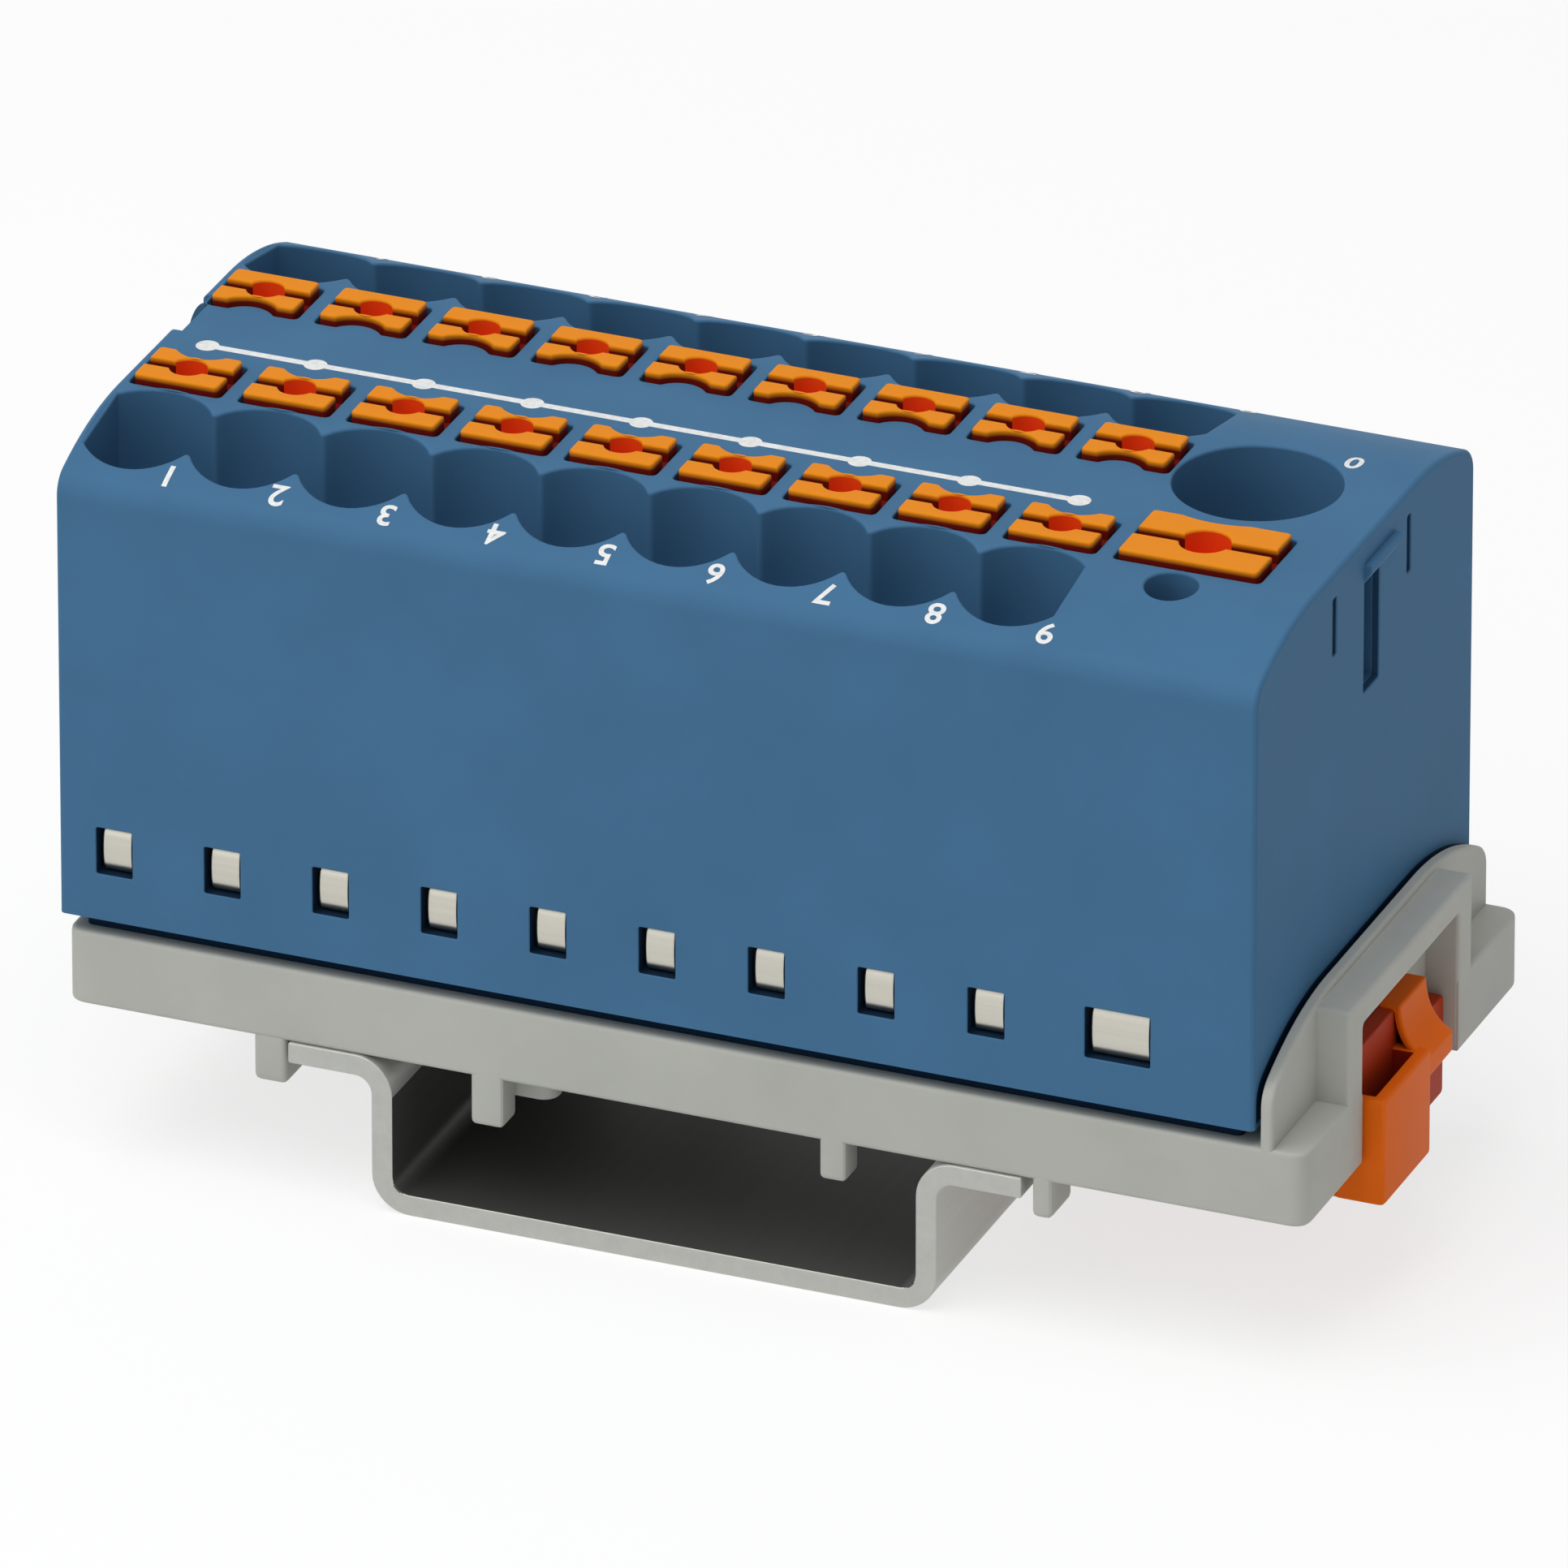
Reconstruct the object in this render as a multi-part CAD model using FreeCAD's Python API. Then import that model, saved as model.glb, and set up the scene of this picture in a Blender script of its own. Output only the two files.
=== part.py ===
import FreeCAD, Part
import math
import os

Vector = FreeCAD.Vector

# Power distribution block on a rail adapter, in millimetres. X runs along the rows of ports, Y from the
# front face to the rear face, Z up. The origin is the middle of the rail section's underside.

# Rows of ports
pitch = 5.2
columns = 9
left_margin = 2.65
feed_offset = 6.2
right_margin = 6.45

# Housing
housing_depth = 26.4
housing_height = 23.0
shoulder_radius = 4.4
side_wall = 1.2
neck_inset = 0.6
neck_height = 0.8
neck_wall = 0.6

# Small ports, measured from the face that they stand behind
entry_inset = 3.9
funnel_radius = 2.9
throat_radius = 2.15
funnel_depth = 4.2
guide_depth = 8.5
funnel_end_wall = 0.45
button_inset = 8.85
button_width = 4.0
button_depth = 3.0
button_notch_chord = 2.4
button_notch_depth = 0.55
button_clearance = 0.15
button_proud = 0.4
button_travel = 1.5
button_groove_width = 0.55
button_groove_depth = 0.7
button_recess_radius = 0.85
button_recess_depth = 1.5
recess_flats = 8
button_lip = 0.4
button_lip_height = 1.2
button_lip_room = 0.65
button_stem_width = 3.0
button_stem_bevel = 0.9

# Feed port, with Y from the middle of the housing
feed_entry_y = 3.35
feed_funnel_radius = 3.8
feed_throat_radius = 3.1
feed_button_shift = 0.3
feed_button_y = -3.75
feed_button_width = 6.55
feed_button_depth = 4.3
feed_notch_radius = 5.2
feed_recess_radius = 1.15
feed_stem_width = 5.4
test_hole_y = -7.5
test_hole_shift = 0.2
test_hole_radius = 1.2

# Current bar and its windows
bar_thickness = 0.8
bar_lift = 0.9
bar_wall_gap = 0.2
bar_end_gap = 0.15
bar_bend_radius = 0.7
finger_width = 3.0
finger_height = 11.6
feed_finger_width = 5.0
feed_finger_y = 6.3
feed_finger_thickness = 1.0
front_lug_height = 5.0
window_height = 3.4
window_width = 1.75
window_tall = 2.3
feed_window_width = 3.1
feed_window_tall = 2.5
tab_gap = 0.25
tab_recess = 0.4
tab_crown = 0.35

# Clamp springs
spring_thickness = 0.3
spring_width = 3.5
spring_loop_radius = 2.8
spring_web_gap = 0.15
spring_foot = 4.0
feed_spring_thickness = 0.4
feed_spring_width = 5.6
feed_spring_loop_radius = 3.2
feed_spring_loop_y = -3.3
feed_spring_foot = 6.0
spring_leg_angle = 25.0
spring_bends = 5
contact_gap = 0.05
spring_play = 0.3

# Marks on the housing ends for lining blocks up
tongue_slot_y = 0.65
tongue_slot_width = 1.9
tongue_slot_height = 6.3
tongue_slot_depth = 0.9
tongue_slot_step = 0.35
tongue_drop = 1.2
tongue_ledge_width = 3.8
tongue_ledge_height = 0.9
tongue_ledge_proud = 0.35
side_slot_width = 0.5
side_slot_height = 2.8
side_slot_depth = 0.5
side_slot_spread = 4.5
end_notch_width = 3.8
end_notch_depth = 0.4
end_bump_radius = 0.75

# Rail section, a 35 mm wide top hat rail
rail_width = 35.0
rail_hat_width = 27.0
rail_height = 7.5
rail_thickness = 1.0
rail_bend_radius = 0.8

# Base adapter
deck_height = 3.6
deck_end_inset = 0.25
deck_face_inset = 0.1
deck_corner_radius = 0.9
deck_overhang = 2.45
end_wall_gap = 0.05
end_wall_thickness = 0.8
end_wall_height = 4.9
end_wall_radius = 4.4
frame_bar = 1.6
frame_top_bar = 1.1
frame_window_width = 11.7
frame_window_height = 3.3
frame_window_y = -0.4
frame_edge_bevel = 0.25
claw_width = 1.55
claw_drop = 2.1
claw_depth = 2.6
claw_hook_depth = 5.0
claw_hook_reach = 0.7
claw_tip_radius = 0.45
rail_gap = 0.15
post_x = -8.0
post_width = 1.55
post_depth = 1.6
post_drop = 2.4
second_post_x = 8.5
second_post_width = 1.25
second_post_drop = 1.9
peg_length = 1.8
peg_radius = 0.8
peg_drop = 1.5
nib_width = 0.95
nib_drop = 1.85
nib_depth = 2.5
nib_gap = 0.45
nib_tip_bevel = 0.3
key_width = 2.0
key_height = 5.0
key_bevel_share = 0.3
key_clearance = 0.1
guide_rib = 1.4
guide_lip = 0.8
guide_lip_thickness = 0.6
core_wall = 1.2
core_depth = 2.0

# Foot latch
latch_travel = 2.0
latch_play = 0.15
latch_drop = 2.0
latch_reach = 1.1
latch_lip_gap = 0.1
latch_outreach = 3.4
latch_back_thickness = 0.8
latch_back_height = 4.9
latch_block_width = 5.8
latch_block_height = 5.15
latch_knob_width = 5.6
latch_knob_overlap = 2.9
latch_knob_bottom = 3.7
latch_knob_nose = 4.8
latch_knob_top = 7.2
latch_knob_shelf = 1.1
latch_ramp_sag = 0.3
latch_edge_radius = 0.3

# How far joined forms run into each other, and how far cutting tools stand out of what they cut
weld = 0.5
overshoot = 1.0

# Levels and places worked out from the sizes
half_depth = housing_depth / 2
deck_bottom = rail_height
deck_top = deck_bottom + deck_height
housing_bottom = deck_top + neck_height
housing_top = housing_bottom + housing_height
cavity_roof = housing_top - guide_depth
housing_length = left_margin + (columns - 1) * pitch + feed_offset + right_margin
housing_left = -housing_length / 2
housing_right = housing_length / 2
column_xs = [housing_left + left_margin + index * pitch for index in range(columns)]
feed_x = column_xs[-1] + feed_offset
feed_button_x = feed_x + feed_button_shift
entry_v = half_depth - entry_inset
button_v = half_depth - button_inset
cavity_width = button_width + 2 * button_clearance
feed_cavity_width = feed_button_width + 2 * button_clearance
cavity_outer = half_depth - side_wall
cavity_inner = button_v - button_depth / 2 - button_lip - button_lip_room
bar_bottom = housing_bottom + bar_lift
bar_top = bar_bottom + bar_thickness
bar_outer = cavity_outer - bar_wall_gap
window_z = housing_bottom + window_height
deck_right = housing_right + deck_overhang
wall_inner = housing_right + end_wall_gap
wall_outer = wall_inner + end_wall_thickness
frame_low = frame_window_y - frame_window_width / 2
frame_high = frame_window_y + frame_window_width / 2
latch_inner = wall_outer + latch_play
latch_outer = housing_right + latch_outreach
latch_low = deck_bottom - latch_drop
latch_left = rail_width / 2 + rail_gap

# Ports: every small port has its name, its place along X and the side of the housing that it faces
ports = []
for side_name, side in (("f", -1), ("r", 1)):
    for number, column_x in enumerate(column_xs, start=1):
        ports.append((f"{side_name}{number}", column_x, side))

# Directions that edges are picked by
along_x = Vector(1, 0, 0)
along_y = Vector(0, 1, 0)
along_z = Vector(0, 0, 1)


def box(low, high):
    """Solid box between two corners given as (x, y, z)."""
    size = [high[axis] - low[axis] for axis in range(3)]
    return Part.makeBox(size[0], size[1], size[2], Vector(*low))


def post(radius, low_z, high_z, x, y):
    """Upright round bar."""
    return Part.makeCylinder(radius, high_z - low_z, Vector(x, y, low_z))


def recess_post(radius, low_z, high_z, x, y):
    """Upright bar with flats that stand at the radius, for a screwdriver recess."""
    turn = 2 * math.pi / recess_flats
    reach = radius / math.cos(turn / 2)
    corners = []
    for index in range(recess_flats):
        angle = (index + 0.5) * turn
        corners.append(Vector(x + reach * math.cos(angle), y + reach * math.sin(angle), low_z))
    face = Part.Face(Part.makePolygon(corners + corners[:1]))
    return face.extrude(Vector(0, 0, high_z - low_z))


def fuse(shapes):
    """One clean solid from overlapping shapes."""
    return shapes[0].multiFuse(shapes[1:]).removeSplitter()


def cut(shape, tools):
    """The shape with all the tools taken out of it."""
    return shape.cut(Part.makeCompound(tools))


def prism_x(edges, low_x, high_x):
    """Closed outline in the YZ plane, drawn at X 0, pushed along X."""
    face = Part.Face(Part.Wire(edges))
    face.translate(Vector(low_x, 0, 0))
    return face.extrude(Vector(high_x - low_x, 0, 0))


def outline_yz(points):
    """Straight edges round a list of (y, z) points."""
    corners = [Vector(0, y, z) for y, z in points]
    return Part.makePolygon(corners + corners[:1]).Edges


def round_edges(shape, radius, wanted):
    """Rounds the edges that the test picks."""
    return shape.makeFillet(radius, [edge for edge in shape.Edges if wanted(edge)])


def bevel_edges(shape, width, wanted):
    """Bevels the edges that the test picks."""
    return shape.makeChamfer(width, [edge for edge in shape.Edges if wanted(edge)])


def runs_along(edge, direction):
    """True for a straight edge parallel to the direction."""
    if edge.Curve.TypeId != "Part::GeomLine":
        return False
    tangent = edge.tangentAt(edge.FirstParameter)
    return abs(abs(tangent.dot(direction)) - 1) < 1e-6


def shoulder_prism(low_x, high_x, bottom, top, half_width, radius):
    """Block whose two upper long edges are rounded, as the housing and the end wall have."""
    block = box((low_x, -half_width, bottom), (high_x, half_width, top))
    return round_edges(
        block, radius, lambda edge: runs_along(edge, along_x) and edge.CenterOfMass.z > top - 1e-6
    )


def y_span(side, inner, outer):
    """Two distances from the housing's middle, turned into low and high Y on one side."""
    return sorted((side * inner, side * outer))


def notch_radius_of(chord, depth):
    """Radius of an arc from its chord and its rise."""
    return (chord * chord / 4 + depth * depth) / (2 * depth)


def button_section(x, y, width, depth, notch_x, notch_y, notch_radius, grow, low_z, high_z):
    """Button outline as a prism, or its pocket when it grows, with a round notch in one edge."""
    half_width = width / 2 + grow
    half_length = depth / 2 + grow
    block = box((x - half_width, y - half_length, low_z), (x + half_width, y + half_length, high_z))
    return block.cut(post(notch_radius - grow, low_z, high_z, notch_x, notch_y))


def small_button_section(x, side, grow, low_z, high_z):
    """Section of a small button, whose notch faces the middle of the housing."""
    radius = notch_radius_of(button_notch_chord, button_notch_depth)
    notch_v = button_v - button_depth / 2 + button_notch_depth - radius
    return button_section(
        x, side * button_v, button_width, button_depth, x, side * notch_v, radius, grow, low_z, high_z
    )


def feed_button_section(grow, low_z, high_z):
    """Section of the feed button, whose rear edge follows the feed entry."""
    return button_section(
        feed_button_x, feed_button_y, feed_button_width, feed_button_depth,
        feed_x, feed_entry_y, feed_notch_radius, grow, low_z, high_z,
    )


def funnel(x, y, mouth_radius, bore_radius):
    """Conductor entry: wide mouth for the collar, ledge, and throat down into the cavity."""
    ledge_z = housing_top - funnel_depth
    mouth = post(mouth_radius, ledge_z, housing_top + overshoot, x, y)
    throat = post(bore_radius, cavity_roof - overshoot, ledge_z + weld, x, y)
    return mouth.fuse(throat)


def small_funnels():
    """The two rows of entries, trimmed flat where a row ends."""
    low_x = housing_left + funnel_end_wall
    high_x = column_xs[-1] + column_xs[0] - low_x
    tools = []
    for side in (-1, 1):
        row = fuse([funnel(x, side * entry_v, funnel_radius, throat_radius) for x in column_xs])
        low_y, high_y = y_span(side, 0, half_depth + overshoot)
        tools.append(row.common(box((low_x, low_y, 0), (high_x, high_y, housing_top + overshoot))))
    return tools


def window(x, width, tall, side):
    """Opening through a side wall that shows a tab of the current bar."""
    low_y, high_y = y_span(side, cavity_outer - overshoot, half_depth + overshoot)
    return box((x - width / 2, low_y, window_z - tall / 2), (x + width / 2, high_y, window_z + tall / 2))


def end_marks(body):
    """Slots and a ledge on the right end, and the notch with its bump on the left end."""
    slot_top = housing_top - tongue_drop
    slot_low = slot_top - tongue_slot_height
    slot_left = tongue_slot_y - tongue_slot_width / 2
    slot_right = tongue_slot_y + tongue_slot_width / 2
    ledge_low = slot_top - tongue_ledge_height
    beyond = housing_right + overshoot
    step_x = housing_right - tongue_slot_step
    deep_x = housing_right - tongue_slot_depth
    notch_right = slot_left + end_notch_width
    tools = [
        box((step_x, slot_left, slot_low), (beyond, slot_right, ledge_low)),
        box((deep_x, tongue_slot_y, slot_low), (beyond, slot_right, ledge_low)),
        box(
            (housing_left - overshoot, slot_left, slot_top),
            (housing_left + end_notch_depth, notch_right, housing_top + overshoot),
        ),
    ]
    for mark_y in (tongue_slot_y - side_slot_spread, tongue_slot_y + side_slot_spread):
        tools.append(box(
            (housing_right - side_slot_depth, mark_y - side_slot_width / 2, slot_top - side_slot_height),
            (beyond, mark_y + side_slot_width / 2, slot_top),
        ))
    ledge = end_ledge(slot_left, slot_left + tongue_ledge_width, ledge_low, slot_top)
    bump_place = Vector(housing_left, notch_right - end_bump_radius, slot_top)
    bump = Part.makeCylinder(end_bump_radius, end_notch_depth, bump_place, along_x)
    return fuse([cut(body, tools), ledge, bump])


def end_ledge(low_y, high_y, low_z, high_z):
    """Small hook on the right end face, flat on top and sloping back to the face below."""
    root = housing_right - tongue_slot_step
    lip = housing_right + tongue_ledge_proud
    corners = [
        Vector(root, low_y, low_z),
        Vector(housing_right, low_y, low_z),
        Vector(lip, low_y, high_z - tongue_ledge_proud),
        Vector(lip, low_y, high_z),
        Vector(root, low_y, high_z),
    ]
    face = Part.Face(Part.makePolygon(corners + corners[:1]))
    return face.extrude(Vector(0, high_y - low_y, 0))


def key_places():
    """X places of the keys that hold the housing on its adapter, between ports on the middle web."""
    return [(column_xs[index] + column_xs[index + 1]) / 2 for index in (0, columns // 2, columns - 2)]


def key(x, grow, low_z, high_z):
    """Upright key of the adapter, or its socket when it grows."""
    half_x = key_width / 2 + grow
    half_y = cavity_inner / 2 + grow
    return box((x - half_x, -half_y, low_z), (x + half_x, half_y, high_z))


def make_housing():
    """Moulded body with its entries, pockets, cavities and windows."""
    body = shoulder_prism(
        housing_left, housing_right, housing_bottom, housing_top, half_depth, shoulder_radius
    )
    neck = box(
        (housing_left + neck_inset, -half_depth + neck_inset, deck_top),
        (housing_right - neck_inset, half_depth - neck_inset, housing_bottom + weld),
    )
    body = fuse([body, neck])
    rib_bottom = bar_top + contact_gap
    trough_inset = neck_inset + neck_wall
    half_small = cavity_width / 2
    half_feed = feed_cavity_width / 2
    low_tool = cavity_roof - overshoot
    high_tool = housing_top + overshoot
    tools = small_funnels()
    tools.append(box(
        (housing_left + trough_inset, -cavity_outer, deck_top - overshoot),
        (feed_button_x + half_feed, cavity_outer, rib_bottom),
    ))
    for name, x, side in ports:
        low_y, high_y = y_span(side, cavity_inner, cavity_outer)
        tools.append(box((x - half_small, low_y, housing_bottom), (x + half_small, high_y, cavity_roof)))
        tools.append(small_button_section(x, side, button_clearance, low_tool, high_tool))
        tools.append(window(x, window_width, window_tall, side))
    tools.append(box(
        (feed_button_x - half_feed, -cavity_outer, housing_bottom),
        (feed_button_x + half_feed, cavity_outer, cavity_roof),
    ))
    tools.append(funnel(feed_x, feed_entry_y, feed_funnel_radius, feed_throat_radius))
    tools.append(feed_button_section(button_clearance, low_tool, high_tool))
    tools.append(post(test_hole_radius, low_tool, high_tool, feed_x + test_hole_shift, test_hole_y))
    tools.append(window(feed_x, feed_window_width, feed_window_tall, -1))
    key_top = deck_top + key_height
    for x in key_places():
        tools.append(key(x, key_clearance, rib_bottom - overshoot, key_top + key_clearance))
    return end_marks(cut(body, tools))


def tab(x, width, tall, side):
    """Tab that stands from the current bar into a window, with its outer edges bevelled."""
    half_tall = tall / 2 - tab_gap
    half_width = width / 2 - tab_gap
    face_v = half_depth - tab_recess
    edge_v = face_v - tab_crown
    base_v = bar_outer - bar_thickness / 2
    flat_half = half_tall - tab_crown
    outline = outline_yz([
        (side * base_v, window_z - half_tall),
        (side * edge_v, window_z - half_tall),
        (side * face_v, window_z - flat_half),
        (side * face_v, window_z + flat_half),
        (side * edge_v, window_z + half_tall),
        (side * base_v, window_z + half_tall),
    ])
    return prism_x(outline, x - half_width, x + half_width)


def make_current_bar():
    """Folded strip: a floor plate, a finger at each port and a tab in each window."""
    low_x = housing_left + neck_inset + neck_wall + bar_end_gap
    high_x = feed_button_x + feed_cavity_width / 2 - bar_end_gap
    finger_top = bar_bottom + finger_height
    inner_v = bar_outer - bar_thickness
    half_small = finger_width / 2
    half_feed = feed_finger_width / 2
    feed_finger_back = feed_finger_y + feed_finger_thickness
    pieces = [box((low_x, -bar_outer, bar_bottom), (high_x, bar_outer, bar_top))]
    for name, x, side in ports:
        low_y, high_y = y_span(side, inner_v, bar_outer)
        pieces.append(box((x - half_small, low_y, bar_bottom), (x + half_small, high_y, finger_top)))
        pieces.append(tab(x, window_width, window_tall, side))
    pieces.append(box(
        (feed_x - half_feed, feed_finger_y, bar_bottom), (feed_x + half_feed, feed_finger_back, finger_top)
    ))
    pieces.append(box(
        (feed_x - half_feed, -bar_outer, bar_bottom),
        (feed_x + half_feed, -inner_v, bar_bottom + front_lug_height),
    ))
    pieces.append(tab(feed_x, feed_window_width, feed_window_tall, -1))
    bar = round_edges(
        fuse(pieces), bar_bend_radius,
        lambda edge: runs_along(edge, along_x)
        and abs(edge.CenterOfMass.z - bar_bottom) < 1e-6
        and abs(abs(edge.CenterOfMass.y) - bar_outer) < 1e-6,
    )
    low_tool = bar_bottom - overshoot
    high_tool = bar_top + overshoot
    tools = [box(
        (feed_x - half_feed, feed_finger_back, low_tool),
        (feed_x + half_feed, bar_outer + overshoot, high_tool),
    )]
    for x in key_places():
        tools.append(key(x, 3 * key_clearance, low_tool, high_tool))
    return cut(bar, tools)


def spring_corner(radius):
    """Distance of the loop's corners from its centre, for flats that stand at the radius."""
    turn = math.radians(180 + spring_leg_angle) / spring_bends
    return radius / math.cos(turn / 2)


def spring_top(loop_radius, thickness):
    """Level of the highest corner of a clamp spring."""
    return bar_top + contact_gap + loop_radius + thickness + spring_corner(loop_radius + thickness)


def leaf_spring(x, width, thickness, loop_v, loop_radius, foot_length, tip_v, side):
    """Bent leaf: flat foot on the bar, loop folded in flats, and a leg that slopes to the finger."""
    outer_radius = loop_radius + thickness
    loop_z = bar_top + contact_gap + outer_radius
    foot_angle = 270
    leg_angle = 90 - spring_leg_angle
    turn = (foot_angle - leg_angle) / spring_bends
    foot_v = loop_v + foot_length

    def along_leg(radius, v):
        """Point of the leg at a distance from the housing's middle."""
        lean = math.radians(spring_leg_angle)
        rise = radius / math.cos(lean) - (v - loop_v) * math.tan(lean)
        return v, loop_z + rise

    def side_line(radius):
        """One side of the strip from foot to tip, as (distance from the middle, level)."""
        corner = spring_corner(radius)
        line = [(foot_v, loop_z - radius)]
        for bend in range(spring_bends):
            angle = math.radians(foot_angle - (bend + 0.5) * turn)
            line.append((loop_v + corner * math.cos(angle), loop_z + corner * math.sin(angle)))
        line.append(along_leg(radius, tip_v))
        return line

    outline = side_line(outer_radius) + side_line(loop_radius)[::-1]
    return prism_x(outline_yz([(side * v, z) for v, z in outline]), x - width / 2, x + width / 2)


def make_small_spring(x, side):
    """Clamp spring of a small port."""
    loop_v = cavity_inner + spring_web_gap + spring_corner(spring_loop_radius + spring_thickness)
    tip_v = bar_outer - bar_thickness - contact_gap
    return leaf_spring(
        x, spring_width, spring_thickness, loop_v, spring_loop_radius, spring_foot, tip_v, side
    )


def make_feed_spring():
    """Clamp spring of the feed port."""
    return leaf_spring(
        feed_button_x, feed_spring_width, feed_spring_thickness, feed_spring_loop_y,
        feed_spring_loop_radius, feed_spring_foot, feed_finger_y - contact_gap, 1,
    )


def finish_button(head, x, y, width, depth, stem_width, recess_radius, stem_bottom):
    """Adds the lip and stem under a button head, and its groove and screwdriver recess on top."""
    head_top = housing_top + button_proud
    lip_top = cavity_roof - contact_gap
    half_lip = depth / 2 + button_lip
    half_width = width / 2
    half_stem = stem_width / 2
    half_groove = button_groove_width / 2
    lip = box(
        (x - half_width, y - half_lip, lip_top - button_lip_height), (x + half_width, y + half_lip, lip_top)
    )
    stem = box((x - half_stem, y - depth / 2, stem_bottom), (x + half_stem, y + depth / 2, lip_top))
    stem = bevel_edges(
        stem, button_stem_bevel,
        lambda edge: runs_along(edge, along_x) and edge.CenterOfMass.z < stem_bottom + 1e-6,
    )
    groove = box(
        (x - width, y - half_groove, head_top - button_groove_depth),
        (x + width, y + half_groove, head_top + overshoot),
    )
    recess = recess_post(recess_radius, head_top - button_recess_depth, head_top + overshoot, x, y)
    return cut(fuse([head, lip, stem]), [groove, recess])


def make_small_button(x, side):
    """Release button of a small port."""
    head_low = cavity_roof - contact_gap - button_lip_height
    head = small_button_section(x, side, 0, head_low, housing_top + button_proud)
    stem_bottom = spring_top(spring_loop_radius, spring_thickness) + spring_play
    return finish_button(
        head, x, side * button_v, button_width, button_depth,
        button_stem_width, button_recess_radius, stem_bottom,
    )


def make_feed_button():
    """Release button of the feed port."""
    head_low = cavity_roof - contact_gap - button_lip_height
    head = feed_button_section(0, head_low, housing_top + button_proud)
    stem_bottom = spring_top(feed_spring_loop_radius, feed_spring_thickness) + spring_play
    return finish_button(
        head, feed_button_x, feed_button_y, feed_button_width, feed_button_depth,
        feed_stem_width, feed_recess_radius, stem_bottom,
    )


def make_rail():
    """Top hat rail as a bent strip, brim up against the adapter."""
    brim = rail_width / 2
    hat = rail_hat_width / 2
    wall = rail_thickness
    points = [
        (-brim, rail_height - wall), (-hat, rail_height - wall), (-hat, 0), (hat, 0),
        (hat, rail_height - wall), (brim, rail_height - wall), (brim, rail_height),
        (hat - wall, rail_height), (hat - wall, wall), (wall - hat, wall),
        (wall - hat, rail_height), (-brim, rail_height),
    ]
    corners = [Vector(x, -half_depth, z) for x, z in points]
    face = Part.Face(Part.makePolygon(corners + corners[:1]))
    strip = face.extrude(Vector(0, housing_depth, 0))

    def outside_bend(edge):
        centre = edge.CenterOfMass
        bottom = abs(abs(centre.x) - hat) < 1e-6 and centre.z < 1e-6
        top = abs(abs(centre.x) - (hat - wall)) < 1e-6 and centre.z > rail_height - 1e-6
        return runs_along(edge, along_y) and (bottom or top)

    def inside_bend(edge):
        centre = edge.CenterOfMass
        bottom = abs(abs(centre.x) - (hat - wall)) < 1e-6 and abs(centre.z - wall) < 1e-6
        top = abs(abs(centre.x) - hat) < 1e-6 and abs(centre.z - rail_height + wall) < 1e-6
        return runs_along(edge, along_y) and (bottom or top)

    strip = round_edges(strip, rail_bend_radius + wall, outside_bend)
    return round_edges(strip, rail_bend_radius, inside_bend)


def rail_grips(side):
    """Claws, posts, pegs and nibs under one long edge of the deck."""
    face = half_depth - deck_face_inset
    high_z = deck_bottom + weld
    claw_right = -rail_width / 2 - rail_gap
    claw_low = deck_bottom - claw_drop - rail_gap

    def rib(low_x, high_x, depth, drop):
        """Rib that hangs from the deck, flush with its edge."""
        low_y, high_y = y_span(side, face - depth, face)
        return box((low_x, low_y, deck_bottom - drop), (high_x, high_y, high_z))

    claw = round_edges(
        rib(claw_right - claw_width, claw_right, claw_depth + claw_hook_depth, claw_drop + rail_gap),
        claw_tip_radius,
        lambda edge: runs_along(edge, along_y) and edge.CenterOfMass.z < claw_low + 1e-6,
    )
    hook_low, hook_high = y_span(side, face - claw_depth - claw_hook_depth, face - claw_depth)
    hook = box(
        (claw_right - claw_width / 2, hook_low, claw_low),
        (claw_right + rail_gap + claw_hook_reach, hook_high, deck_bottom - rail_thickness - rail_gap),
    )
    post_low = post_x - post_width / 2
    post_high = post_x + post_width / 2
    second_low = second_post_x - second_post_width / 2
    peg_low, peg_high = y_span(side, face - post_depth - 2 * peg_radius, face - post_depth)
    peg_centre = post_high + peg_length - peg_radius
    peg_base = deck_bottom - peg_drop
    nib_low = rail_width / 2 + nib_gap
    nib = bevel_edges(
        rib(nib_low, nib_low + nib_width, nib_depth, nib_drop), nib_tip_bevel,
        lambda edge: runs_along(edge, along_y) and edge.CenterOfMass.z < deck_bottom - nib_drop + 1e-6,
    )
    return [
        claw,
        hook,
        rib(post_low, post_high, post_depth, post_drop),
        rib(second_low, second_low + second_post_width, post_depth, second_post_drop),
        box((post_low, peg_low, peg_base), (peg_centre, peg_high, high_z)),
        post(peg_radius, peg_base, high_z, peg_centre, (peg_low + peg_high) / 2),
        nib,
    ]


def latch_guide(side):
    """Rib beside the latch's tongue, with a lip that carries it."""
    guide_left = latch_left + latch_travel
    lip_low = latch_low - latch_play - guide_lip_thickness
    edge_y = frame_window_y + side * frame_window_width / 2
    rib_low, rib_high = sorted((edge_y, edge_y + side * guide_rib))
    lip_near, lip_far = sorted((edge_y - side * guide_lip, edge_y + side * guide_rib))
    return [
        box((guide_left, rib_low, lip_low), (wall_outer, rib_high, deck_bottom + weld)),
        box((guide_left, lip_near, lip_low), (wall_outer, lip_far, lip_low + guide_lip_thickness)),
    ]


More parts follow.
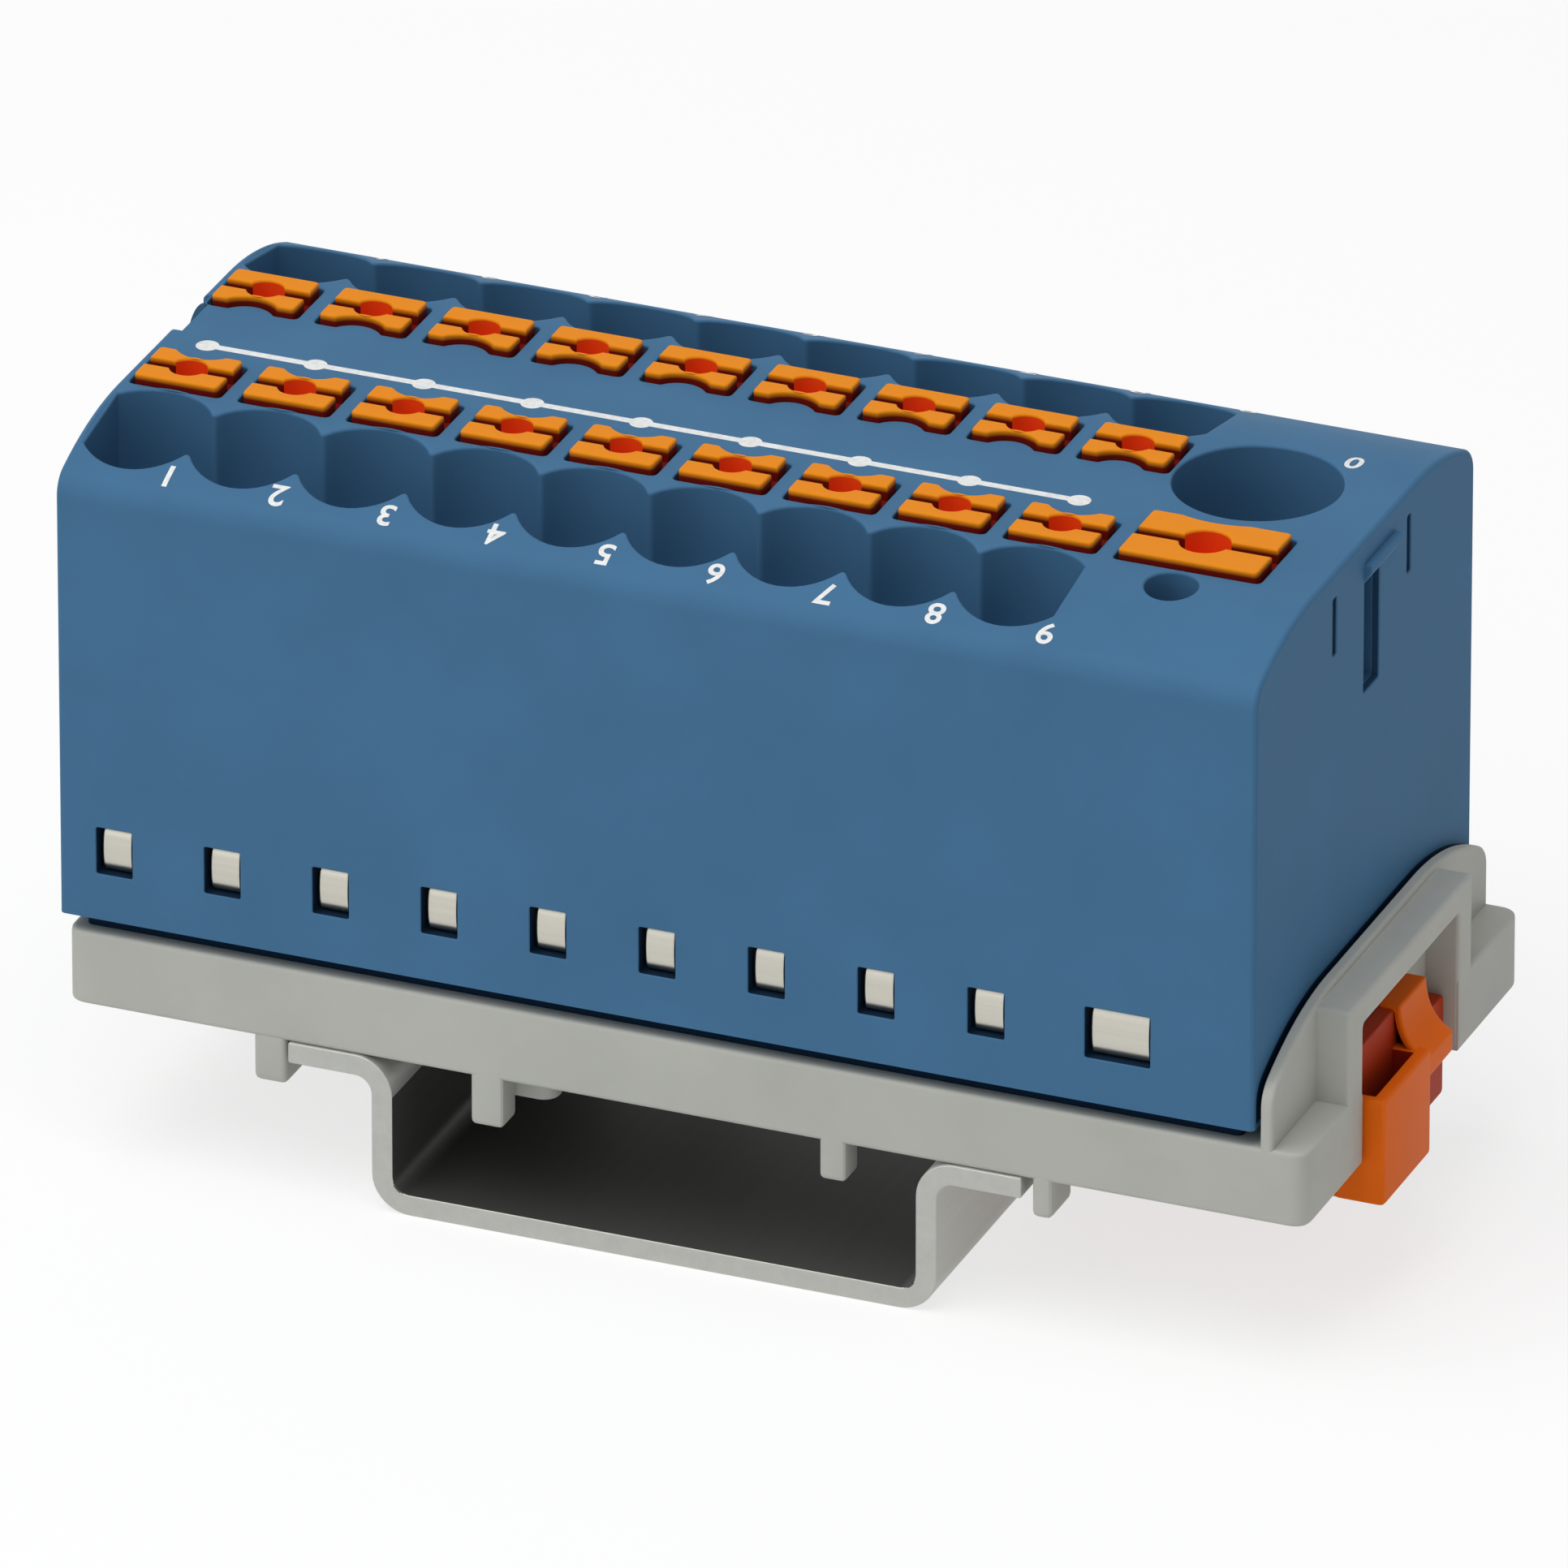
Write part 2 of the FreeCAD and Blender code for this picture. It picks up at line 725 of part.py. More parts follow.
def make_base_adapter():
    """Moulded foot: deck, end wall with the latch frame, rail grips and the latch's guides."""
    half = half_depth - deck_face_inset
    deck_left = housing_left + deck_end_inset
    deck = box((deck_left, -half, deck_bottom), (deck_right, half, deck_top))
    deck = round_edges(deck, deck_corner_radius, lambda edge: runs_along(edge, along_z))
    wall = shoulder_prism(
        wall_inner, wall_outer, deck_top - weld, deck_top + end_wall_height, half, end_wall_radius
    )
    frame_top = deck_top + frame_window_height + frame_top_bar
    frame = box(
        (wall_inner, frame_low - frame_bar, deck_top - weld), (deck_right, frame_high + frame_bar, frame_top)
    )
    frame = bevel_edges(
        frame, frame_edge_bevel,
        lambda edge: edge.CenterOfMass.z > frame_top - 1e-6 and edge.CenterOfMass.x > deck_right - 1e-6,
    )
    pieces = [deck, wall, frame]
    for side in (-1, 1):
        pieces.extend(rail_grips(side))
        pieces.extend(latch_guide(side))
    key_top = deck_top + key_height
    key_bevel = key_bevel_share * cavity_inner / 2
    for x in key_places():
        bar = key(x, 0, deck_top - weld, key_top)
        pieces.append(bevel_edges(bar, key_bevel, lambda edge: edge.CenterOfMass.z > key_top - 1e-6))
    core_right = -rail_width / 2 - rail_gap - claw_width - core_wall
    tools = [
        box(
            (wall_outer, frame_low, deck_bottom - overshoot),
            (deck_right + overshoot, frame_high, deck_top + frame_window_height),
        ),
        box(
            (deck_left + core_wall, core_wall - half, deck_bottom - overshoot),
            (core_right, half - core_wall, deck_bottom + core_depth),
        ),
    ]
    return cut(fuse(pieces), tools)


def latch_tongue(low_y, high_y, block_y):
    """Flat slide under the deck, with the thin lip that grips the rail's brim."""
    high_z = deck_bottom - latch_play
    lip_high = deck_bottom - rail_thickness - latch_lip_gap
    slide = box((latch_left, low_y, latch_low), (latch_outer - overshoot, high_y, high_z))
    lip = box((rail_width / 2 - latch_reach, low_y, latch_low), (latch_left + weld, high_y, lip_high))
    notch = box(
        (latch_inner - guide_rib, block_y, latch_low - overshoot),
        (latch_outer, high_y + overshoot, high_z + overshoot),
    )
    return cut(fuse([slide, lip]), [notch])


def latch_knob(low_y):
    """Grip with a narrow shelf on top and a hollowed ramp that runs out to the nose."""
    nose_z = latch_low + latch_knob_nose
    top_z = latch_low + latch_knob_top
    bottom_z = latch_low + latch_knob_bottom
    shelf_x = latch_inner + latch_knob_shelf
    shelf = Vector(shelf_x, low_y, top_z)
    nose = Vector(latch_outer, low_y, nose_z)
    sagging = shelf + (nose - shelf) * 0.5 - Vector(latch_ramp_sag, 0, latch_ramp_sag)
    ramp = Part.Arc(shelf, sagging, nose).toShape()
    rest = Part.makePolygon([
        nose,
        Vector(latch_outer, low_y, bottom_z),
        Vector(latch_inner, low_y, bottom_z),
        Vector(latch_inner, low_y, top_z),
        shelf,
    ])
    return Part.Face(Part.Wire([ramp] + rest.Edges)).extrude(Vector(0, latch_knob_width, 0))


def make_foot_latch():
    """Sliding latch: tongue under the deck with its rail lip, and the grip in the frame."""
    low_y = frame_low + latch_play
    high_y = frame_high - latch_play
    block_y = low_y + latch_block_width
    back = box(
        (latch_inner, low_y, latch_low),
        (latch_inner + latch_back_thickness, high_y, latch_low + latch_back_height),
    )
    block = box((latch_inner, low_y, latch_low), (latch_outer, block_y, latch_low + latch_block_height))
    block = round_edges(block, latch_edge_radius, lambda edge: edge.CenterOfMass.x > latch_outer - 1e-6)
    knob = latch_knob(block_y - latch_knob_overlap)
    return fuse([latch_tongue(low_y, high_y, block_y), back, block, knob])


os.makedirs("parts", exist_ok=True)
nodes = {
    "housing": make_housing(),
    "current_bar": make_current_bar(),
    "base_adapter": make_base_adapter(),
    "foot_latch": make_foot_latch(),
    "din_rail_section": make_rail(),
    "feed_clamp_spring": make_feed_spring(),
    "feed_release_button": make_feed_button(),
}
for port_name, port_x, port_side in ports:
    nodes["clamp_spring_" + port_name] = make_small_spring(port_x, port_side)
    nodes["release_button_" + port_name] = make_small_button(port_x, port_side)
for node_name, shape in nodes.items():
    shape.exportStep(f"parts/{node_name}.step")
    print(node_name, len(shape.Solids), shape.isValid(), round(shape.Volume, 2))
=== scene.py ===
import math
from contextlib import contextmanager
from functools import partial

import bpy
from bpy.props import FloatProperty, FloatVectorProperty, IntProperty, PointerProperty
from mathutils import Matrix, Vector
from mathutils.geometry import delaunay_2d_cdt


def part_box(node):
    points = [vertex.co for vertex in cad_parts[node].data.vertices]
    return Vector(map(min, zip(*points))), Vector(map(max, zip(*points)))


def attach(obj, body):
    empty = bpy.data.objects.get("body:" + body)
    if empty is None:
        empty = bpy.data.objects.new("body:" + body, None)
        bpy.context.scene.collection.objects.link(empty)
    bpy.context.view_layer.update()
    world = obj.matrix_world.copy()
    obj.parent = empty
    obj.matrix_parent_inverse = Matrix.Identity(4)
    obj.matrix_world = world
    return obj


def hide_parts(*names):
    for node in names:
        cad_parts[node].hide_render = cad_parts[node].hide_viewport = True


bl_info = {
    "name": "Power Distribution Block",
    "version": (1, 0, 0),
    "blender": (4, 5, 0),
    "location": "3D View > Sidebar > Distribution Block",
    "description": "Dresses a rail mounted power distribution block with release buttons and a foot latch",
    "category": "Object",
}

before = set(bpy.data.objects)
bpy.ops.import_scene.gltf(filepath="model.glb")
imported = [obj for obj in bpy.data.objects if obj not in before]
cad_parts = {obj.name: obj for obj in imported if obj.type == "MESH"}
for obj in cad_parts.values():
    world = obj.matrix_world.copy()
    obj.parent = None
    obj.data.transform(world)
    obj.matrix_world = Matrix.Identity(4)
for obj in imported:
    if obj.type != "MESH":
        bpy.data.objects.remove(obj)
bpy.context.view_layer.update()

# Forms are worked out in millimetres and become metres when their mesh is made.
MM = 0.001

# Ports, by the names that the frame gives them: front row, rear row, numbered from the left
COLUMNS = range(1, 10)
ROWS = (("f", -1), ("r", 1))
PORTS = [(f"{row}{number}", side) for row, side in ROWS for number in COLUMNS]


def node_box(node):
    """Lowest and highest corner of a frame node, in millimetres."""
    low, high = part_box(node)
    return low / MM, high / MM


def middle_x(node):
    """Place of a frame node's middle along the block."""
    low, high = node_box(node)
    return (low.x + high.x) / 2


housing_low, housing_high = node_box("housing")
button_low, button_high = node_box("release_button_f1")
feed_button_low, feed_button_high = node_box("feed_release_button")
bar_low, bar_high = node_box("current_bar")
adapter_low, adapter_high = node_box("base_adapter")
latch_low, latch_high = node_box("foot_latch")
rail_low, rail_high = node_box("din_rail_section")

# Levels and places that several pieces share. One called V is measured from the middle towards either row.
TOP = housing_high.z
HALF_DEPTH = housing_high.y
LEFT = housing_low.x
RIGHT = -LEFT
NECK_BOTTOM = housing_low.z
BODY_BOTTOM = NECK_BOTTOM + 0.8
DECK_TOP = NECK_BOTTOM
DECK_BOTTOM = rail_high.z
CAVITY_ROOF = TOP - 8.5
CAVITY_OUTER = HALF_DEPTH - 1.2
# Ports of the two rows
COLUMN_XS = [middle_x(f"release_button_f{number}") for number in COLUMNS]
PITCH = COLUMN_XS[1] - COLUMN_XS[0]
BUTTON_V = -(button_low.y + button_high.y) / 2
ENTRY_V = HALF_DEPTH - 3.9
MOUTH_V = ENTRY_V - 0.25
FUNNEL_END_WALL = 0.45
CUSP_RADIUS = 0.2
# Feed port
FEED_BUTTON_X = middle_x("feed_release_button")
FEED_X = FEED_BUTTON_X - 0.3
FEED_ENTRY_Y = 3.35
# Windows, and the notch of the left end
WINDOW_Z = BODY_BOTTOM + 3.4
WINDOW_RIM = 0.07
NOTCH_LOW, NOTCH_HIGH = -0.3, 3.5
NOTCH_Z = TOP - 1.2
NOTCH_DEPTH = 0.6
# End wall of the adapter, its gap to the housing, the frame of the latch and where ribs start in the deck
WALL_INNER = RIGHT + 0.05
WALL_OUTER = WALL_INNER + 0.8
WALL_GAP = 0.22
FRAME_Y = -0.4
FRAME_HALF = 5.85
RIB_ROOT_Z = DECK_BOTTOM + 0.3
# Half width of the rail's hat
RAIL_HAT = 13.5


# Property groups

def length(label, value, help_text):
    """Length property whose default is given in millimetres."""
    return FloatProperty(
        name=label, description=help_text, default=value * MM, min=0.0, unit="LENGTH", precision=5
    )


def linear(hex_value):
    """Linear red, green and blue of an sRGB hex colour."""
    channels = [int(hex_value[start:start + 2], 16) / 255 for start in (1, 3, 5)]
    return tuple(
        channel / 12.92 if channel <= 0.04045 else ((channel + 0.055) / 1.055) ** 2.4 for channel in channels
    )


def colour(label, hex_value, help_text):
    """Colour property whose default is given as sRGB hex."""
    return FloatVectorProperty(
        name=label, description=help_text, default=linear(hex_value), min=0.0, max=1.0,
        subtype="COLOR", size=3,
    )


class BlockHousingSettings(bpy.types.PropertyGroup):
    """Sizes and colour of the moulded housing."""

    level_half: length("Level Half Width", 6.2, "Half of the level strip along the middle of the top")
    crown_radius: length("Crown Radius", 15.5, "Wide arc in which the top falls off to both long sides")
    shoulder_radius: length("Shoulder Radius", 1.33, "Tight arc between the crown and a side face")
    end_radius: length("End Radius", 0.25, "Rounding round the two ends")
    rim_radius: length("Rim Radius", 0.15, "Rounding of the mouths of entries and pockets")
    funnel_radius: length("Funnel Radius", 2.9, "Mouth of a small conductor entry")
    throat_radius: length("Throat Radius", 2.15, "Throat of a small conductor entry")
    feed_funnel_radius: length("Feed Funnel Radius", 3.8, "Mouth of the feed entry")
    feed_throat_radius: length("Feed Throat Radius", 3.1, "Throat of the feed entry")
    test_hole_radius: length("Test Hole Radius", 1.2, "Hole for the test probe")
    plastic: colour("Plastic", "#49759A", "Colour of the moulded polyamide")
    # Painted shade: the hollow colour darkens window walls, the neck, the end face's foot, the end slots and
    # the bump below the notch, where shade falls
    hollow: colour("Hollow", "#152A40", "Colour of window walls and of the neck below the body")


class BlockButtonSettings(bpy.types.PropertyGroup):
    """Sizes and colour of the release buttons."""

    width: length("Width", 4.0, "Width of a small button along its row")
    depth: length("Depth", 3.0, "Depth of a small button across its row")
    feed_width: length("Feed Width", 6.55, "Width of the feed button")
    feed_depth: length("Feed Depth", 4.3, "Depth of the feed button")
    clearance: length("Clearance", 0.2, "Gap between a button and its pocket")
    groove_width: length("Groove Width", 0.72, "Groove along the top")
    groove_depth: length("Groove Depth", 0.7, "Depth of the groove")
    recess_radius: length("Recess Radius", 0.85, "Screwdriver recess of a small button")
    feed_recess_radius: length("Feed Recess Radius", 1.15, "Screwdriver recess of the feed button")
    recess_depth: length("Recess Depth", 1.5, "Depth of the screwdriver recess")
    edge_radius: length("Edge Radius", 0.12, "Rounding of the top edges")
    plastic: colour("Plastic", "#EE8E12", "Colour of the moulded polyamide")
    # Painted shade and light: the hollow colour darkens the groove and the head's sides by depth below the
    # top; the recess colour, redder and darker than the plastic, stands for the light that reaches the recess
    # from above
    hollow: colour("Hollow", "#70140B", "Colour that light takes on between the walls of the groove")
    recess: colour("Recess", "#EE4A16", "Colour of the screwdriver recess, which light reaches from above")


class BlockMetalSettings(bpy.types.PropertyGroup):
    """Sizes and colours of the current bar, the clamp springs and the rail."""

    bar_thickness: length("Bar Thickness", 0.8, "Strip that the current bar is folded from")
    finger_width: length("Finger Width", 3.0, "Contact finger of a small port")
    tab_width: length("Tab Width", 1.42, "Tab in a small window")
    feed_tab_width: length("Feed Tab Width", 2.76, "Tab in the wide window")
    rail_thickness: length("Rail Thickness", 1.0, "Strip that the rail is rolled from")
    rail_bend: length("Rail Bend", 0.8, "Inner radius of the rail's bends")
    tin: colour("Tin", "#C9C6BB", "Colour of the tin plate")
    spring_steel: colour("Spring Steel", "#9A9A9C", "Colour of the spring strip")
    rail_finish: colour("Rail Finish", "#BEBFB9", "Colour of the plated rail")
    # Painted shade: this colour darkens the inside of the rail's channel, where shade falls
    rail_hollow: colour("Rail Hollow", "#4A4B47", "Colour that the rail's channel falls to")


class BlockAdapterSettings(bpy.types.PropertyGroup):
    """Sizes and colours of the base adapter and its foot latch."""

    edge_radius: length("Edge Radius", 0.22, "Rounding of the deck's edges")
    corner_radius: length("Corner Radius", 0.9, "Rounding of the deck's corners")
    latch_edge_radius: length("Latch Edge Radius", 0.18, "Rounding of the latch's edges")
    plastic: colour("Plastic", "#BCBDB6", "Colour of the adapter's moulded polyamide")
    latch_plastic: colour("Latch Plastic", "#EC6A08", "Colour of the latch's moulded polyamide")
    # Painted shade: this colour darkens the latch's back plate, the block's pocket and the knob's hollow,
    # where shade falls
    latch_hollow: colour("Latch Hollow", "#A5281A", "Colour that the latch's hollows fall to")


class BlockPrintSettings(bpy.types.PropertyGroup):
    """Sizes and colour of the white print."""

    line_width: length("Line Width", 0.43, "Width of the line that joins the dots")
    dot_radius: length("Dot Radius", 0.53, "Radius of a dot")
    dot_sides: IntProperty(name="Dot Sides", description="Corners of a dot's outline", default=28, min=8)
    digit_height: length("Digit Height", 1.25, "Height of a port's number")
    ink: colour("Ink", "#F2F4F4", "Colour of the pad printed ink")


class BlockStageSettings(bpy.types.PropertyGroup):
    """Floor, lamps and camera."""

    floor: colour("Floor", "#F4F4F4", "Colour of the floor")
    floor_glow: FloatProperty(
        name="Floor Glow", description="Share of the floor's white that shadows do not take",
        default=0.72, min=0.0, max=1.0,
    )
    fill: FloatProperty(
        name="Fill", description="Strength of the even light from all round", default=0.32, min=0.0
    )
    azimuth: FloatProperty(
        name="Azimuth", description="Camera's turn from the front face towards the latch",
        default=math.radians(22.18), subtype="ANGLE",
    )
    elevation: FloatProperty(
        name="Elevation", description="Camera's height above the horizon",
        default=math.radians(26.44), subtype="ANGLE",
    )
    distance: length("Distance", 1364.0, "Camera's distance from the block")
    lens: FloatProperty(
        name="Lens", description="Focal length in millimetres on a 36 mm sensor", default=707.4, min=1.0
    )


def mm(value):
    """A length property in millimetres."""
    return value / MM


# Surfaces from patches

# Outlines that turn by less than this at a corner are smooth there.
SHARP_TURN = math.radians(32)
SMOOTH_TURN = math.cos(SHARP_TURN)
RIM_STEPS = 3
GIRTH_STEPS = 9
# Quarter turn in which the ends and the left end's notch are rounded
ROUND_ANGLES = [math.pi / 2 * step / (RIM_STEPS + 1) for step in range(RIM_STEPS + 2)]
# Share of a side that the rounding of one corner may take
LARGEST_CUT = 0.45


class Skin:
    """Surface made of patches. Each corner of a face keeps the normal that its patch has there, and each face
    keeps its share of painted shade, how far its patch counts as lying in a hollow, from 0 outside to 1."""

    def __init__(self):
        self.points = []
        self.places = {}
        self.faces = []
        self.normals = []
        self.hollow = 0.0
        self.hollows = []

    def point(self, place):
        """Index of a point, the same for every patch that reaches it."""
        key = tuple(round(value, 4) for value in place)
        if key not in self.places:
            self.places[key] = len(self.points)
            self.points.append(Vector(place))
        return self.places[key]

    def face(self, corners):
        """Adds a face from (point, normal) corners, turned to the side that its normals show."""
        kept = []
        for place, normal in corners:
            index = self.point(place)
            if all(index != other for other, _ in kept):
                kept.append((index, normal))
        if len(kept) < 3:
            return
        area = Vector((0, 0, 0))
        for (first, _), (second, _) in zip(kept, kept[1:] + kept[:1]):
            area += self.points[first].cross(self.points[second])
        if area.dot(sum((normal for _, normal in kept), Vector((0, 0, 0)))) < 0:
            kept.reverse()
        self.faces.append([index for index, _ in kept])
        self.normals.extend(normal for _, normal in kept)
        self.hollows.append(self.hollow)

    def band(self, low, high, closed=True):
        """Joins two lines of (point, normal before, normal after) corners."""
        count = len(low)
        for first in range(count if closed else count - 1):
            second = (first + 1) % count
            self.face([
                (low[first][0], low[first][2]),
                (low[second][0], low[second][1]),
                (high[second][0], high[second][1]),
                (high[first][0], high[first][2]),
            ])

    @contextmanager
    def lying(self, hollow):
        """While this runs, new faces take that share of painted shade."""
        kept = self.hollow
        self.hollow = hollow
        yield
        self.hollow = kept

    def mesh(self, name):
        """The patches as one Blender mesh in metres, with their normals kept."""
        data = bpy.data.meshes.new(name)
        data.from_pydata([point * MM for point in self.points], [], self.faces)
        data.polygons.foreach_set("use_smooth", [True] * len(self.faces))
        data.normals_split_custom_set([normal.normalized() for normal in self.normals])
        # Each face's share of painted shade goes to the material as the face attribute named hollow
        data.attributes.new("hollow", "FLOAT", "FACE").data.foreach_set("value", self.hollows)
        return data


class Flat:
    """Flat place for outlines, from its origin and the two directions that outlines are drawn in."""

    def __init__(self, origin, across, up):
        self.origin = Vector(origin)
        self.across = Vector(across)
        self.up = Vector(up)
        self.normal = self.across.cross(self.up)

    def at(self, a, b, depth=0.0):
        return self.origin + self.across * a + self.up * b - self.normal * depth

    def facing(self, a, b):
        return self.normal

    def turned(self, direction):
        return self.across * direction[0] + self.up * direction[1]

    def floor(self, depth):
        """Function that drops a place of an outline to a depth."""
        return lambda a, b: self.at(a, b, depth)

    def sunk(self, depth, flipped=False):
        """Parallel place further in, which can face the other way."""
        across = -self.across if flipped else self.across
        return Flat(self.origin - self.normal * depth, across, self.up)


class Shoulders:
    """Form of a block whose top falls off to both long sides: a level middle, a wide arc and a tight arc that
    ends in the side face. Its girth is followed from the middle of the top."""

    def __init__(self, half, flat, crown, edge, top, bottom):
        self.half = half
        self.flat = flat
        self.crown = crown
        self.edge = edge
        self.top = top
        self.lean = math.asin((half - flat - edge) / (crown - edge)) if crown > edge else 0.0
        self.crown_end = flat + crown * self.lean
        self.edge_end = self.crown_end + edge * (math.pi / 2 - self.lean)
        inner = crown - edge
        self.edge_centre = Vector((
            0, flat + inner * math.sin(self.lean), top - crown + inner * math.cos(self.lean),
        ))
        self.reach = self.edge_end + self.edge_centre.z - bottom

    def section(self, girth):
        """Place and facing in the YZ plane at a distance along the girth."""
        side = math.copysign(1, girth)
        run = abs(girth)
        if run <= self.flat:
            return Vector((0, girth, self.top)), Vector((0, 0, 1))
        if run >= self.edge_end:
            z = self.edge_centre.z + self.edge_end - run
            return Vector((0, side * self.half, z)), Vector((0, side, 0))
        if run <= self.crown_end:
            angle = (run - self.flat) / self.crown
            centre, radius = Vector((0, self.flat, self.top - self.crown)), self.crown
        else:
            angle = self.lean + (run - self.crown_end) / self.edge
            centre, radius = self.edge_centre, self.edge
        facing = Vector((0, math.sin(angle), math.cos(angle)))
        place = centre + facing * radius
        return Vector((0, side * place.y, place.z)), Vector((0, side * facing.y, facing.z))

    def girth(self, y):
        """Distance along the girth of a place that is seen from above."""
        run = abs(y)
        if run <= self.flat:
            return y
        if run <= self.flat + self.crown * math.sin(self.lean):
            reach = self.flat + self.crown * math.asin((run - self.flat) / self.crown)
        else:
            angle = math.asin(min(1.0, (run - self.edge_centre.y) / self.edge))
            reach = self.crown_end + self.edge * (angle - self.lean)
        return math.copysign(reach, y)

    def side_girth(self, side, z):
        """Distance along the girth of a place on a side face."""
        return side * (self.edge_end + self.edge_centre.z - z)

    def stations(self, steps):
        """Distances along the girth that follow its rounded stretches."""
        half = [self.flat]
        for start, end in ((self.flat, self.crown_end), (self.crown_end, self.edge_end)):
            if end > start:
                half += [start + (end - start) * step / steps for step in range(1, steps + 1)]
        half.append(self.reach)
        return [-value for value in reversed(half)] + half

    def at(self, x, y, depth=0.0):
        place, _ = self.section(self.girth(y))
        return Vector((x, y, place.z - depth))

    def facing(self, x, y):
        return self.section(self.girth(y))[1]

    def turned(self, direction):
        return Vector((direction[0], direction[1], 0))


def arc(x, y, radius, first, last, steps):
    """Points of an arc between two angles in degrees."""
    angles = [math.radians(first + (last - first) * step / steps) for step in range(steps + 1)]
    return [(x + radius * math.cos(angle), y + radius * math.sin(angle)) for angle in angles]


def ring(x, y, radius, steps=40):
    """Points of a full circle."""
    return arc(x, y, radius, 0, 360, steps)[:-1]


def rectangle(low_x, low_y, high_x, high_y):
    """Corners of an upright rectangle."""
    return [(low_x, low_y), (high_x, low_y), (high_x, high_y), (low_x, high_y)]


def bowed(first, corner, last, share):
    """Point of the curve that leaves the first point towards a corner and comes from there to the last."""
    return first * (1 - share) ** 2 + corner * 2 * share * (1 - share) + last * share * share


def softened(outline, radius, steps=3, wanted=None):
    """Outline with its sharp corners rounded, all of them or those that the test picks."""
    result = []
    for index, corner in enumerate(outline):
        here = Vector(corner)
        before = Vector(outline[index - 1]) - here
        after = Vector(outline[(index + 1) % len(outline)]) - here
        cosine = max(-1.0, min(1.0, -before.normalized().dot(after.normalized())))
        turn = math.acos(cosine)
        if turn < SHARP_TURN or (wanted and not wanted(corner)):
            result.append(tuple(here))
            continue
        reach = min(radius * math.tan(turn / 2), before.length * LARGEST_CUT, after.length * LARGEST_CUT)
        first = here + before.normalized() * reach
        last = here + after.normalized() * reach
        result += [tuple(bowed(first, here, last, step / steps)) for step in range(steps + 1)]
    return result


def outward(outline):
    """Outward direction of every side of an anticlockwise outline."""
    runs = [Vector(after) - Vector(here) for here, after in zip(outline, outline[1:] + outline[:1])]
    return [Vector((run.y, -run.x)).normalized() for run in runs]


def turns(outline):
    """Outward directions before and after each corner of an anticlockwise outline, the same where it is
    smooth."""
    sides = outward(outline)
    result = []
    for index, after in enumerate(sides):
        before = sides[index - 1]
        if before.dot(after) > SMOOTH_TURN:
            before = after = (before + after).normalized()
        result.append((before, after))
    return result


def grown(outline, distance):
    """Anticlockwise outline moved outwards by a distance, with its corners kept sharp."""
    sides = outward(outline)
    result = []
    for index, (corner, after) in enumerate(zip(outline, sides)):
        before = sides[index - 1]
        shift = (before + after) * distance / max(0.25, 1 + before.dot(after))
        result.append((corner[0] + shift.x, corner[1] + shift.y))
    return result


def inside(point, outline):
    """True where a point lies within an outline."""
    x, y = point
    found = False
    before_x, before_y = outline[-1]
    for here_x, here_y in outline:
        if (here_y > y) != (before_y > y):
            if x < here_x + (y - here_y) * (before_x - here_x) / (before_y - here_y):
                found = not found
        before_x, before_y = here_x, here_y
    return found


def from_behind(outline):
    """Anticlockwise outline as the back of its place shows it."""
    return [(-a, b) for a, b in reversed(outline)]


def spans(outline):
    """Lowest and highest place of an outline in both directions."""
    xs = [point[0] for point in outline]
    ys = [point[1] for point in outline]
    return min(xs), max(xs), min(ys), max(ys)


def filled(outer, holes=(), inner=()):
    """Triangles that cover an outline but not its holes, by way of the inner points too."""
    loops = [outer, *holes]
    points = [Vector(point) for loop in loops for point in loop]
    points += [Vector(point) for point in inner]
    edges = []
    start = 0
    for loop in loops:
        count = len(loop)
        edges += [(start + index, start + (index + 1) % count) for index in range(count)]
        start += count
    places, _, faces = delaunay_2d_cdt(points, edges, [], 0, 1e-6)[:3]
    boxes = [spans(hole) for hole in holes]
    for face in faces:
        centre = sum((places[index] for index in face), Vector((0, 0))) / len(face)
        if not inside(centre, outer):
            continue
        x, y = centre
        for hole, (low_x, high_x, low_y, high_y) in zip(holes, boxes):
            if low_x < x < high_x and low_y < y < high_y and inside(centre, hole):
                break
        else:
            yield [places[index] for index in face]


def plate(skin, place, outer, holes=()):
    """Fills an outline on its place, with holes left open."""
    for triangle in filled(outer, holes):
        skin.face([(place.at(a, b), place.facing(a, b)) for a, b in triangle])


def walls(skin, place, outline, rim, floor, hole, hollow=None):
    """Rounded rim and walls of a hole or a raised form, down to the floor that the function gives; returns
    the outline of the rim. With a last value, the walls below the rim take that share of painted shade."""
    sign = 1 if hole else -1
    top = grown(outline, sign * rim) if rim else outline
    sides = [[place.turned(side) * -sign for side in pair] for pair in turns(outline)]
    lines = []
    for step in range(RIM_STEPS + 1 if rim else 0):
        share = step / RIM_STEPS
        line = []
        for start, corner, (before, after) in zip(top, outline, sides):
            point = bowed(place.at(*start), place.at(*corner), place.at(*corner, rim), share)
            up = place.facing(*start) * (1 - share)
            line.append((point, up + before * share, up + after * share))
        lines.append(line)
    for level in ([floor] if rim else [place.at, floor]):
        lines.append([(level(*corner), before, after) for corner, (before, after) in zip(outline, sides)])
    for low, high in zip(lines[:-2], lines[1:-1]):
        skin.band(low, high)
    with skin.lying(skin.hollow if hollow is None else hollow):
        skin.band(lines[-2], lines[-1])
    return top


def prism(skin, place, outline, depth, rim, far_rim=None):
    """Closed form of one section: face with a rounded rim, walls, and back with the same rim or its own."""
    far_rim = rim if far_rim is None else far_rim
    back = place.sunk(depth, flipped=True)
    top = walls(skin, place, outline, rim, place.floor(depth / 2), hole=False)
    under = walls(skin, back, from_behind(outline), far_rim, back.floor(depth / 2), hole=False)
    plate(skin, place, top)
    plate(skin, back, under)


